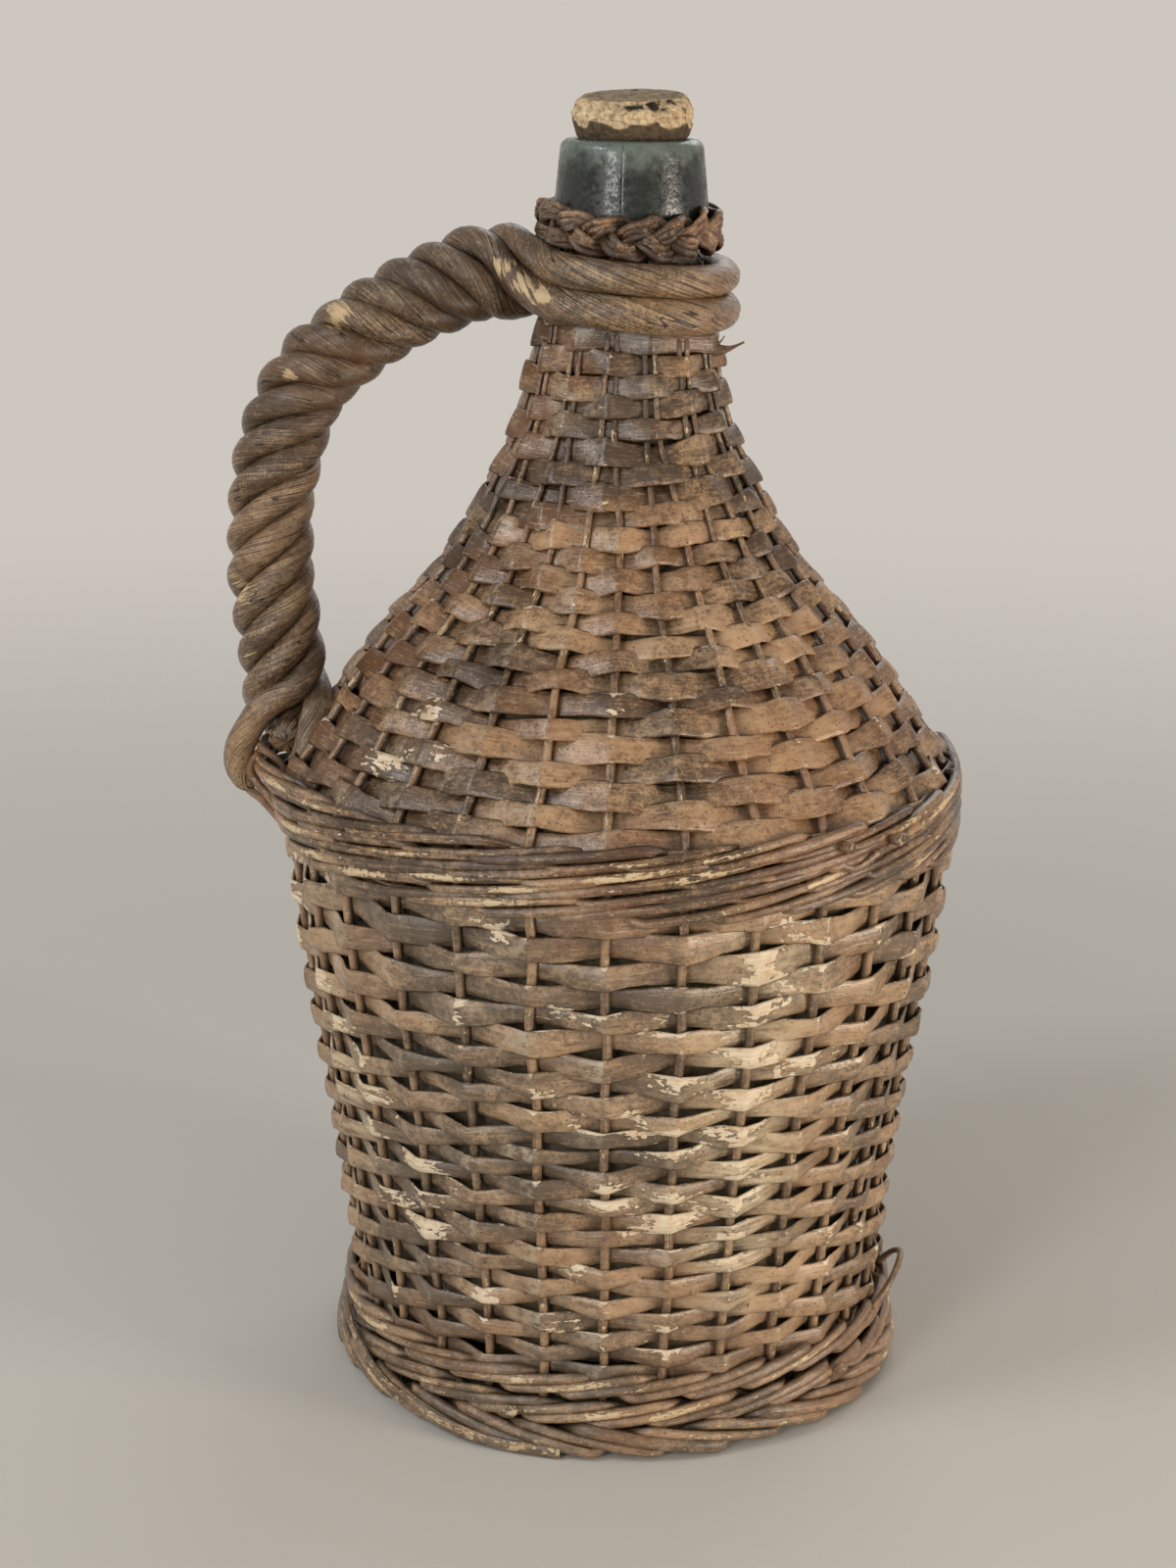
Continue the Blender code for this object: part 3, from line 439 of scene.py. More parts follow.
    # Layers over the brown: reddish patches, the dust film with its painted sheen, bleach with its painted light,
    # scratches, dark specks, dark rims and lost skin, pits, cracks and slits, and last painted shade from the shade
    # mark
    colour = painted(
        tree, brown, (soft_share(tree, (patches, 0.42, 0.62, 0.0, 0.6)), reddish),
        (film, "#ada08b"), (bleach_and_light_share, "#cdbb9a"), (scratched, "#b3a084"), (darkened, "#2e241b"),
        (total(tree, 0.0, (0.4, rim)), dark), (lost, pale),
        (pit, "#2c2119"), (crack, "#2a1f17"), (slit, "#211812"), (total(tree, 0.0, (0.66, marks["shade"])), "#2d2119"),
    )
    deep = crack
    for other in (total(tree, 0.0, (1.6, slit)), pit):
        deep = add(tree, "ShaderNodeMath", {0: deep, 1: other}, operation="MAXIMUM")
    relief = total(
        tree, 0.0, (0.6 * fibre, lines), (0.4 * fibre, hairs), (0.35, mottle), (0.3, specks), (-0.35, lost),
        (-0.9, deep),
    )
    bump = add(tree, "ShaderNodeBump", {"Strength": 0.5, "Distance": 0.8 * MM, "Height": relief})
    rough = total(tree, roughness + 0.20, (-0.22, lines), (-0.18, mottle), (0.18, lost))
    feed(shader, {"Base Color": colour, "Roughness": rough, "Normal": bump, "IOR": 1.50})
    return made


# Split willow: the rod's brown skin on a strip shaved flat inside, with wide soft lines that flake at the folds
split_willow = willow(
    "split_willow_skin_aged", light="#ba956e", dark="#473627", red="#8f603d", bare="#dfd1b6",
    line=(22 * MM, 1.2 * MM), flake=(12 * MM, 3.2 * MM), roughness=0.28, fibre=0.7, dust=0.2,
)
# Whole rods: the same skin drawn round, so its lines are finer and its worn spots small
rod_willow = willow(
    "round_willow_rod_in_skin", light="#b18c66", dark="#3e2e21", red="#85583a", bare="#cfbb95",
    line=(24 * MM, 0.9 * MM), flake=(9 * MM, 2.4 * MM), roughness=0.26, dust=0.12,
)
# The thin rods of the collar: dark, hairy and a little glossy
plait_willow = willow(
    "plaited_willow_dark", light="#c4966d", dark="#3b2a1d", red="#8a5d3f", bare="#a8906c",
    line=(12 * MM, 0.6 * MM), flake=(6 * MM, 2 * MM), roughness=0.24, fibre=1.2, dust=0.1,
)
# The handle's thick rods: bark smoothed and oiled by hands, wrinkled and cracked along its grain
handle_willow = willow(
    "thick_willow_rod_oiled_by_hands", light="#c3a37c", dark="#4b3a2b", red="#8f6847", bare="#c6af88",
    line=(45 * MM, 0.9 * MM), flake=(24 * MM, 2.6 * MM), cracks=1.0, roughness=0.23, fibre=1.25, dust=0.08,
    clouding=0.6,
)
print("willow finishes:", [look.name for look in (split_willow, rod_willow, plait_willow, handle_willow)])

# %% [markdown]
# ## The woven walls
# A skein is a rod split lengthwise and shaved flat. It passes in front of one stake and behind the next. With an odd
# number of stakes it comes round on the other side of each, so one skein that climbs in a spiral makes a plain weave.
# The path is worked out from its crossings: each lies on the outline, at the depth of a strip before or behind a
# stake. Between crossings the skein runs straight, and it folds over the stakes. That fold, with a flat facet to its
# left and right, is what makes such a basket sparkle. Each fold is a short curve through three points. A bump pattern
# on a plain wall would be quicker, but it has no gaps for light to pass and no edges to be worn.

# %% Places on the wall
HANDLE_SIDE_SWELL = 1.6 * MM
EVEN_SWELL = 0.6 * MM


def out_of_round(angle, height):
    """How far the casing stands out of its even outline. It was woven fuller on the handle's side, at -X, so that is
    a constant less a cosine of the angle, faded in and out with the height."""
    return band(height, 40 * MM, 40 * MM, WALL_HIGH, 20 * MM) * (EVEN_SWELL - HANDLE_SIDE_SWELL * np.cos(angle))


def on_wall(angle, height, depth):
    """The place at an angle and height that lies depth under the crest, measured square to the wall."""
    out, up = slope(height)
    return polar(crest(height) - depth * out + out_of_round(angle, height), angle, height - depth * up)


def wall_outward(angle, height):
    """The direction square to the wall."""
    out, up = slope(height)
    return polar(out, angle, up)


# Spots where the casing has been knocked or rubbed bare: angle from the front, height, and reach
WORN_SPOTS = (
    (-71, 212, 9), (-71, 192, 8), (-60, 219, 8), (-66, 168, 12), (-59, 156, 10), (-54, 150, 7), (-71, 140, 8),
    (-57, 134, 9), (-49, 131, 10), (-54, 113, 10), (-42, 113, 9), (-38, 106, 11), (-46, 88, 12), (-40, 87, 14),
    (-37, 81, 8), (-21, 217, 9), (-12, 184, 7), (-7, 186, 7), (-12, 149, 8), (-7, 140, 8), (2, 142, 9), (6, 182, 9),
    (8, 162, 10), (7, 133, 11), (-1, 110, 11), (9, 104, 12), (6, 94, 11), (26, 213, 10), (22, 208, 9), (33, 202, 8),
    (24, 190, 14), (34, 184, 8), (21, 172, 12), (31, 161, 9), (43, 157, 10), (22, 155, 16), (31, 149, 8),
    (22, 140, 11), (15, 133, 10), (22, 125, 10), (23, 110, 12), (13, 101, 11), (21, 85, 11), (-9, 77, 7), (9, 47, 9),
    (-11, 52, 7), (-29, 58, 9), (58, 186, 8), (-47, 266, 10), (-44, 284, 8), (-36, 271, 6), (-84, 216, 8),
    (-80, 203, 9), (-76, 198, 7), (-86, 190, 8), (-79, 178, 9), (-84, 160, 8), (118, 150, 14), (150, 100, 13),
    (200, 170, 15), (170, 280, 9), (230, 120, 12), (95, 90, 10),
)
SPOT_WIDER = 1.5  # a spot reaches this much further round the casing than up and down it


def spot_share(distance):
    """1 near a spot's middle, falling to 0 just beyond its reach. The distance is in reaches."""
    return 1 - ease(distance - 0.2)


def spot_wear(places):
    """How worn each place is by the chosen spots."""
    angle = np.degrees(np.arctan2(places[..., 1], places[..., 0])) + 90
    worn = np.zeros(places.shape[:-1])
    for spot_angle, spot_height, reach in WORN_SPOTS:
        turned = (angle - spot_angle + 180) % 360 - 180
        aside = np.radians(turned) * np.hypot(places[..., 0], places[..., 1]) / SPOT_WIDER
        worn = np.maximum(worn, spot_share(np.hypot(aside, places[..., 2] - spot_height * MM) / (reach * MM)))
    return worn


print("worn spots:", len(WORN_SPOTS))

# %% The crossings of a skein
NECK_TILT = math.radians(4.5)  # the rings at the neck lie higher on the handle's side
TILTED_TOP = 26 * MM


def neck_rise(angle, height):
    """How much the top rows climb on the handle's side to meet the tilted loops: the tangent of the tilt times the
    distance towards the handle, eased in over the top of the wall."""
    return -math.tan(NECK_TILT) * crest(height) * np.cos(angle) * ease((height - WALL_HIGH + TILTED_TOP) / TILTED_TOP)


def row_share(turn, last):
    """How much of a row's width is left, which is less than all of it half a turn from the wall's low or high end."""
    return np.clip(turn + 0.5, 0, last) - np.clip(turn - 0.5, 0, last)


def crossings(low, high, pitch, stages, thickness, seed):
    """Where a spiral of plain weave passes the stakes. Turns are counted by adding up the slope's length over the
    local pitch of the rows. A row reaches from the height half a turn before it to the height half a turn after it,
    and both stay between low and high, so the first and last turns are wedges that close the wall. Each stage gives
    the height up to which it goes, how many crossings a turn has and where they stand. Even crossings are in front
    and odd ones behind."""
    fine = np.linspace(low, high, 600)
    runs = np.hypot(np.diff(fine), np.diff(crest(fine)))
    turns = np.concatenate([[0], np.cumsum(runs / pitch((fine[1:] + fine[:-1]) / 2))])

    def row_middle(turn):
        """The mean of the row's heights half a turn before and after."""
        return (np.interp(turn - 0.5, turns, fine) + np.interp(turn + 0.5, turns, fine)) / 2

    begun, turn_at, angle = 0, [], []
    for until, per_turn, crossing_angle in stages:
        ended = turns[-1] + 1 if until >= high else round(float(np.interp(until, fine, turns)) + 0.5)
        step = np.arange(int((ended - begun) * per_turn))
        turn_at.append(begun + step / per_turn - 0.5)
        angle.append(crossing_angle(step % per_turn, row_middle(turn_at[-1])) + math.tau * (begun + step // per_turn))
        begun = ended
    turn_at, angle = np.concatenate(turn_at), np.concatenate(angle)
    number = np.arange(len(turn_at))
    is_behind = number % 2
    height = row_middle(turn_at)
    proud = 0.3 * MM * np.random.default_rng(seed + 12).normal(0, 1, len(number))
    depth = thickness / 2 - (1 - is_behind) * np.abs(proud)
    depth = depth + is_behind * (thickness + 2 * stake_radius(height) + 0.4 * MM)
    shift = 0.75 * MM * wander(number, 5.3, seed) + 0.65 * MM * wander(number, 2.7, seed + 1)
    height = height + row_share(turn_at, turns[-1]) * shift
    places = on_wall(angle, height, depth)
    places[:, 2] += neck_rise(angle, height)
    return places, height, turn_at, turns[-1]


print("the top row climbs", round(neck_rise(math.pi, WALL_HIGH) / MM, 1), "mm on the handle's side")

# %% The path of a skein
FRONT_FOLD = 0.9 * MM  # from a fold's crest to where the facet beside it is flat
BACK_BEND = 6.0 * MM
FOLD_SHARES = np.array([0, 0.5, 1.0])
RUN_SHARES = np.array([0.06, 0.35, 0.65, 0.94])


def folded_path(crossing):
    """A path that runs straight between crossings and bends at each, on the curve (1 - t)^2 * arrive + 2t(1 - t) *
    crossing + t^2 * leave. With each of its points come its place counted in crossings and parts of a run, and its
    distance along the path from the nearest crossing in front."""
    run = np.diff(crossing, axis=0)
    run_length = np.linalg.norm(run, axis=1)
    heading = run / run_length[:, None]
    number = np.arange(len(crossing))[1:-1]
    reach = np.where(number % 2 == 1, BACK_BEND, FRONT_FOLD)
    before = np.minimum(reach, 0.42 * run_length[:-1])
    after = np.minimum(reach, 0.42 * run_length[1:])
    inner = crossing[1:-1]
    arrive = inner - heading[:-1] * before[:, None]
    leave = inner + heading[1:] * after[:, None]
    weights = ((1 - FOLD_SHARES) ** 2, 2 * FOLD_SHARES * (1 - FOLD_SHARES), FOLD_SHARES**2)
    bend = sum(weight[None, :, None] * end[:, None, :] for weight, end in zip(weights, (arrive, inner, leave)))
    next_arrive = np.concatenate([arrive[1:], crossing[-1:]])
    straight = leave[:, None, :] + (next_arrive - leave)[:, None, :] * RUN_SHARES[None, :, None]
    path = np.concatenate([bend, straight], axis=1).reshape(-1, 3)

    in_bend = -before[:, None] / run_length[:-1, None] * (1 - 2 * np.minimum(FOLD_SHARES, 0.5))
    in_bend = in_bend + after[:, None] / run_length[1:, None] * (2 * np.maximum(FOLD_SHARES, 0.5) - 1)
    run_from = (after / run_length[1:])[:, None]
    run_to = (1 - np.append(before[1:], 0.0) / run_length[1:])[:, None]
    in_run = run_from + (run_to - run_from) * RUN_SHARES
    at = (number[:, None] + np.concatenate([in_bend, in_run], axis=1)).ravel()
    from_fold = (at - np.round(at / 2) * 2) * np.interp(at, np.arange(len(run)), run_length)
    return path, at, from_fold


print("steps from one crossing to the next:", len(FOLD_SHARES) + len(RUN_SHARES))

# %% What a skein has been through
PROFILE_ACROSS = np.array([-1.0, -0.86, -0.45, 0.0, 0.45, 0.86, 1.0, 0.72, 0.0, -0.72])
PROFILE_OUT = np.array([-0.15, 0.50, 0.92, 1.0, 0.92, 0.50, -0.15, -1.0, -1.0, -1.0])
STRIPS_PER_ROD = 31  # crossings until a new rod, with its own tone, takes over


def skein_marks(places, at, from_fold, angle, height, seed):
    """Marks for wear, shade, tone, bloom and bleach. Wear is a hump at each fold and at each chosen spot, more of it
    on the low edge. Shade is painted shade: it grows towards the crossings behind, and lies on the edges and the back.
    Tone is drawn for each rod and each fold, is darker on the lower left and in a thin line, and carries painted light
    and shade by side. Bloom is a waxy bloom and a painted sheen beside the folds that face the window. Bleach is pale
    streaks at the left and the right front, and painted light at the right front."""
    front = np.abs(at % 2 - 1)
    fold = (np.round(at / 2) * 2).astype(int)
    rod = np.floor((at + 9) / STRIPS_PER_ROD).astype(int)
    from_front = np.degrees(angle) + 90

    def drawn(number, offset, least, most):
        """A random number within limits for each fold or rod."""
        return np.random.default_rng(seed + offset).uniform(least, most, number.max() + 1)[number]

    knocked = np.clip((drawn(fold, 10, 0, 1) - 0.80) / 0.20, 0, 1) * ease((370 * MM - height) / (60 * MM))
    fold_wear = 0.28 * hump(from_fold, 1.2 * MM) + 0.50 * knocked * hump(from_fold, 6 * MM)
    low_edge = np.clip(-PROFILE_ACROSS, 0, 1) ** 2
    edge = np.abs(PROFILE_ACROSS) ** 4
    edge_wear = (0.16 * edge + 0.30 * low_edge**4) * (0.3 + 0.7 * front[:, None])
    wear = fold_wear[:, None] * (0.65 + 0.5 * low_edge) + edge_wear
    wear = wear + 0.82 * spot_wear(places) * (0.25 + 0.75 * front[:, None])
    # Bleach: pale streaks at the left and at the right front. At the right front it is also painted light, where light
    # falls from the right
    right_side = beside(from_front, 24, 10) * band(height, 45 * MM, 30 * MM, 225 * MM, 30 * MM)
    left_side = beside(from_front, -63, 9) * band(height, 80 * MM, 30 * MM, 228 * MM, 15 * MM)
    bleaching_and_painted_light = np.clip(drawn(fold, 16, 0.1, 1.3), 0, 1) * (right_side + 0.8 * left_side)
    shade = (1 - ease(front * 2.0))[:, None] * (0.56 + 0.3 * edge) + 0.6 * (PROFILE_OUT < -0.5) + 0.18 * edge

    on_shoulder = ease((height - 245 * MM) / (15 * MM))
    # Darker on the lower left, and in a thin upright line at the right front, low on the wall
    darkened = beside(from_front, -48, 20) * ease((150 * MM - height) / (60 * MM))
    dark_line = beside(from_front, 22, 3.5) * band(height, 35 * MM, 15 * MM, 120 * MM, 20 * MM)
    tone = 0.7 * drawn(rod, 11, -1, 1) + 0.55 * drawn(fold, 14, -1, 1) - 1.0 * darkened - 1.6 * dark_line
    # Painted light and shade by side: lighter at the right front and at the front of the shoulder, darker at the far
    # left of the shoulder
    tone = tone + 0.8 * beside(from_front, 36, 18) - 0.9 * beside(from_front, -68, 30) * on_shoulder
    tone = tone + 0.7 * beside(from_front, 0, 26) * on_shoulder * ease((372 * MM - height) / (40 * MM))
    # Painted sheen, with a waxy bloom: grey beside the folds, on their side that faces the front-left window
    bloom_and_painted_sheen = np.exp(from_fold / (7 * MM)) * (from_fold < 0) * beside(from_front, -20, 36)
    bloom_and_painted_sheen = bloom_and_painted_sheen * np.clip(drawn(fold, 15, -0.5, 1.2), 0, 1)
    return {
        "wear": wear + 0.07 * bleaching_and_painted_light[:, None], "shade": np.clip(shade, 0, 1), "tone": tone[:, None],
        "bloom_and_painted_sheen": bloom_and_painted_sheen[:, None], "bleach_and_painted_light": bleaching_and_painted_light[:, None],
    }


print("points round a strip:", len(PROFILE_ACROSS))

# %% A skein
GRAIN_BEHIND = [1.9, 2.6, 3.3, 4.2]  # where the back's columns lie on the grain map, which runs on round the edge


def skein(name, low, high, pitch, stages, thickness, width_shares, lean, seed, replaced):
    """A strip along the folded path. It is as wide as its row times a share for crossings behind, runs and crossings
    in front, and it leans upwards by lean where it is in front. Both, its thickness and its edges wander."""
    crossing, crossing_height, turn_at, last = crossings(low, high, pitch, stages, thickness, seed)
    number = np.arange(len(crossing))
    path, at, from_fold = folded_path(crossing)
    travelled = lengths(path)
    front = np.abs(at % 2 - 1)
    angle = np.arctan2(path[:, 1], path[:, 0])
    height = np.interp(at, number, crossing_height)
    outward = wall_outward(angle, height)
    bulge = 0.30 * MM * np.sin(math.pi * (at % 1)) ** 2 * (1 + wander(travelled, 31 * MM, seed + 13))
    path = path + outward * bulge[:, None]
    leaning = lean * front + 0.09 * wander(travelled, 45 * MM, seed + 2) + 0.05 * wander(travelled, 17 * MM, seed + 3)
    outward = unit(outward + leaning[:, None] * [0, 0, 1])
    rows = pitch(height)
    uneven = 0.14 * wander(travelled, 160 * MM, seed + 4) + 0.09 * wander(travelled, 27 * MM, seed + 5) - 0.03
    width = rows * np.interp(front, [0, 0.5, 1.0], width_shares) * (1 + uneven)
    width = width * np.maximum(row_share(np.interp(at, number, turn_at), last), 0.12)
    along, column = travelled[:, None], np.arange(len(PROFILE_ACROSS))[None, :]
    ragged = 1 + 0.05 * noise(along / (3.4 * MM), 3.0 * column, seed + 6)
    skew = 1 + 0.10 * wander(along, 60 * MM, seed + 7) * PROFILE_ACROSS
    thick = thickness * (1 + 0.10 * wander(along, 90 * MM, seed + 8)) / 2
    ridges = 0.05 * MM * noise(along / (9 * MM), column * 1.3, seed + 9)
    places = sweep(path, outward, PROFILE_ACROSS, PROFILE_OUT, width[:, None] / 2 * ragged * skew, thick)
    places = places + ridges[:, :, None] * outward[:, None, :]
    marks = skein_marks(places, at, from_fold, angle, height, seed)
    grain = (travelled, np.append(PROFILE_ACROSS[:7], GRAIN_BEHIND) * rows.mean() / 2, 0.0)
    piece(name, places, split_willow, marks=marks, grain=grain, replaced=replaced)
    print(name, "crossings", len(number) - 1, "turns", round(last, 1), "length", round(travelled[-1], 1), "m")


# %% The walls
def lower_pitch(height):
    """Rows lie close at the foot and open out to the waist."""
    return np.interp(height, [WALL_LOW, 115 * MM, WAIST_LOW], [7.2 * MM, 7.0 * MM, 10.6 * MM])


def upper_pitch(height):
    """Rows lie a little closer towards the neck."""
    return np.interp(height, [WAIST_HIGH, NECK_LOW, WALL_HIGH], [8.7 * MM, 8.1 * MM, 7.9 * MM])


PAIR_COUNT = (STAKE_COUNT + 1) // 2


def pair_angle(number, height):
    """Between the two stakes of a pair. The last pair is one stake."""
    second = np.minimum(2 * number + 1, STAKE_COUNT - 1)
    return (stake_angle(2 * number, height) + stake_angle(second, height)) / 2


skein(
    "lower_skein", WALL_LOW - 7 * MM, WAIST_LOW + 0.5 * MM, lower_pitch, [(WAIST_HIGH, STAKE_COUNT, stake_angle)],
    1.6 * MM, (1.02, 1.07, 1.10), 0.05, 11, ["lower_weave"],
)
skein(
    "upper_skein", WAIST_HIGH - 0.5 * MM, WALL_HIGH + 6.5 * MM, upper_pitch,
    [(NECK_LOW, STAKE_COUNT, stake_angle), (math.inf, PAIR_COUNT, pair_angle)],
    1.3 * MM, (1.22, 1.28, 1.36), 0.12, 41, ["shoulder_weave", "neck_weave"],
)

# %% [markdown]
# ## Round rods
# Stakes, bands and the plait are whole rods. Their section is a circle with a little noise, so that light runs
# unevenly along them. Stakes stand just under the strips that pass before them, and show as short bars where a strip
# passes behind. Those bars are rubbed pale here and there. The CAD rods are true to size but have few sides, so each
# is drawn again on the same line.

# %% The stakes
def rod_places(path, outward, radius, sides, seed, closed=False, rough=0.05, flat=1.0):
    """A circle of that many sides carried along the path, made uneven by noise. flat widens it across."""
    turn = np.linspace(0, math.tau, sides, endpoint=False)
    along = lengths(path)
    girth = np.arange(sides)[None, :] * 1.7
    uneven = 1 + rough * noise(along[:, None] / (7 * MM), girth, seed) + 0.03 * wander(along, 35 * MM, seed)[:, None]
    radius = np.broadcast_to(radius, (len(path),))[:, None] * uneven
    return sweep(path, outward, np.cos(turn), np.sin(turn), radius * flat, radius, closed)


def facing_out(sides):
    """How squarely each point of a round section faces outwards, from 0 to 1."""
    return np.clip(np.sin(np.linspace(0, math.tau, sides, endpoint=False)), 0, 1)[None, :]


SKIN = 2.2 * MM  # the strips' thickness over the stakes, and a little room
SLIMMER = 0.86  # a stake dries to less than the space that its strips keep for it
STAKE_SIDES = 10
in_wall = np.linspace(line_heights[0], WALL_HIGH, 110)
heights = np.concatenate([in_wall, [line_heights[-2] + 4 * MM, line_heights[-1]]])
for number in range(STAKE_COUNT):
    angle = stake_angle(number, heights) + 0.004 * wander(heights, 60 * MM, 500 + number)
    rod = stake_radius(heights)
    path = on_wall(angle, np.minimum(heights, WALL_HIGH), SKIN + rod)
    path[-2:] = polar(line_radii[-1], angle[-2:], 0.0)
    path[:, 2] = heights + neck_rise(angle, heights)
    places = rod_places(path, wall_outward(angle, heights), SLIMMER * rod, STAKE_SIDES, 500 + number)
    lit = np.clip(0.5 + 0.8 * wander(heights, 14 * MM, 600 + number), 0, 1)[:, None]
    tone = np.full((1, 1), 1.0 - 1.4 * (number * 0.37 % 1))
    marks = {"wear": 0.45 * lit, "shade": 0.8 * (1 - facing_out(STAKE_SIDES)) ** 2, "tone": tone}
    stake = f"stake_{number + 1:02d}"
    piece(f"{stake}_rod", places, rod_willow, marks=marks, replaced=[stake])
print("stakes made:", STAKE_COUNT)

# %% [markdown]
# ## Waling: the waist band and the foot
# Three rods are worked by turns, each in front of two stakes and behind the third, then lifted over the other two.
# From outside that looks like a flat rope with long slanting strokes. A turn has 29 stakes, two more than a multiple
# of three, so a rod that starts again after one turn is the second of the three. One closed path of three turns
# therefore makes the whole course. Hundreds of points set by hand would do it too, but a formula for one cycle keeps
# the three rods clear of each other.

# %% A course of waling
WALE = 3
STEPS_PER_STAKE = 12
ROD_SIDES = 12


def wale(name, height, rise, rod, front_radius, depth, seed, bow=None, replaced=(), start=0.0, loose=0.35 * MM):
    """A three-rod wale. At x stakes into its cycle of three, a rod climbs from -rise to rise while x goes from 0 to 2,
    and comes back behind the third stake, where it lies depth further in. With a negative rise its strokes fall to
    the right. bow gives how far the course stands out and up of its circle at each angle. start is where in its cycle
    the first rod is, and loose how far a rod strays."""
    stakes = np.arange(WALE * STAKE_COUNT * STEPS_PER_STAKE) / STEPS_PER_STAKE
    cycle = (stakes + start) % WALE
    back = np.clip(cycle - 2, 0, 1)
    behind = np.sin(math.pi * back) ** 2
    level = np.where(cycle < 2, cycle - 1, 1 - 2 * ease(back))
    angle = FIRST_STAKE + STAKE_PITCH * (stakes - 0.5)
    over = np.sin(math.pi * np.minimum(cycle, 2) / 2)
    stands_out, stands_up = bow(angle) if bow else (0.0, 0.0)
    radius = front_radius + 0.5 * MM * over - behind * depth + stands_out
    radius = radius + 0.8 * loose * wander(stakes, 3.7, seed + 3)
    up = height + rise * level + loose * wander(stakes, 5.1, seed + 1) + stands_up
    thick = rod * (1 - 0.28 * behind) * (1 + 0.13 * wander(stakes, 13.0, seed))
    path, outward = polar(radius, angle, up), polar(1.0, angle, 0.0)
    places = rod_places(path, outward, thick, ROD_SIDES, seed, closed=True, rough=0.07, flat=1.04)
    draw = np.random.default_rng(seed + 2).uniform(0, 1, len(stakes) // STEPS_PER_STAKE + 2)
    stroke = draw[((stakes + start) // WALE).astype(int)]
    facing = facing_out(ROD_SIDES)
    rubbed = hump(cycle - 1.1, 0.5) * np.clip((stroke - 0.45) / 0.4, 0, 1)
    marks = {
        "wear": 0.60 * rubbed[:, None] * facing + 0.10 + 0.16 * facing**6,
        "shade": np.clip(behind[:, None] * 0.9 + 0.9 * (1 - facing) ** 2, 0, 1),
        "tone": (stroke * 2 - 1)[:, None],
    }
    grain = (stakes * STAKE_PITCH * front_radius, np.linspace(0, math.tau * rod, ROD_SIDES + 1), 0.0)
    piece(name, places, rod_willow, closed=True, marks=marks, grain=grain, replaced=replaced)
    print(name, "at", round(height / MM, 1), "mm, radius", round(front_radius / MM, 1), "mm")


# %% The waist band
EYE_STANDOFF = 9.0 * MM
EYE_HALF_ANGLE = math.radians(30)
EYE_LIFT = 0.45  # the eye climbs by this much of what it stands out
BAND_SWELL = 1.8 * MM
WAIST_ROD = 1.85 * MM
WAIST_RISE = 3.7 * MM
WAIST_STEP = 6.2 * MM
WAIST_DEPTH = 6.0 * MM
waist_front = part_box("waist_rod_1")[1].y - WAIST_ROD + 0.4 * MM
waist_middle = (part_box("waist_rod_1")[0].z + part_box("waist_rod_5")[1].z) / 2


def eye(share):
    """The band bows out and up round the handle's foot, as a raised cosine of the angle from it. Courses below the
    eye do so by a share. All of them follow the casing, which is fuller on the handle's side."""
    def bow(angle):
        """How far the course stands out and up at an angle."""
        from_handle = np.abs(angle % math.tau - math.pi)
        bowed = share * EYE_STANDOFF * (0.5 + 0.5 * np.cos(math.pi * np.minimum(from_handle / EYE_HALF_ANGLE, 1)))
        return bowed - BAND_SWELL * np.cos(angle), EYE_LIFT * bowed
    return bow


waist_nodes = (["waist_rod_1", "waist_rod_2"], ["waist_rod_3"], ["waist_rod_4"], ["waist_rod_5"])
for course, (share, replaced) in enumerate(zip((0.0, 0.35, 0.7, 1.0), waist_nodes)):
    level = waist_middle + WAIST_STEP * (course - 1.5)
    front_radius = min(waist_front, float(crest(level + 2 * MM)) + 2.6 * WAIST_ROD)
    wale(
        f"waist_course_{course + 1}", level, WAIST_RISE, WAIST_ROD, front_radius, WAIST_DEPTH, 701 + 10 * course,
        bow=eye(share), replaced=replaced, start=0.7 * course, loose=0.6 * MM,
    )

# %% The foot
FOOT_ROD = 2.0 * MM
FOOT_DEPTH = 6.2 * MM
foot_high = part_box("foot_rod_7")[1].z
# Each course: its height and rise, its rod, the CAD rods it replaces with the one it lines up with first, how far it
# stands out of that one, its seed and its start
foot_courses = (
    ("foot_course_high", foot_high - 5.9 * MM, 3.6 * MM, FOOT_ROD, (7, 6), 0.4 * MM, 711, 0.0),
    ("foot_course_low", foot_high - 16.6 * MM, 3.7 * MM, FOOT_ROD, (4, 5), 0.8 * MM, 721, 1.6),
    ("foot_border", 7.9 * MM, -4.6 * MM, FOOT_ROD * 1.15, (1, 2, 3), 0.8 * MM, 731, 0.7),
)
for name, level, rise, rod, nodes, proud, seed, start in foot_courses:
    front_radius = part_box(f"foot_rod_{nodes[0]}")[1].y - FOOT_ROD + proud
    replaced = [f"foot_rod_{node}" for node in sorted(nodes)]
    wale(name, level, rise, rod, front_radius, FOOT_DEPTH, seed, replaced=replaced, start=start)

# %% [markdown]
# ## The plait under the lip
# Three strands cross from side to side. Each swings up and down once while it swings in and out twice, and the three
# are a third of a period apart. A strand here is three thin rods side by side, as on the real collar. A straight
# braid could be bent to a ring with a modifier, but it would be even all round, and this collar isn't.

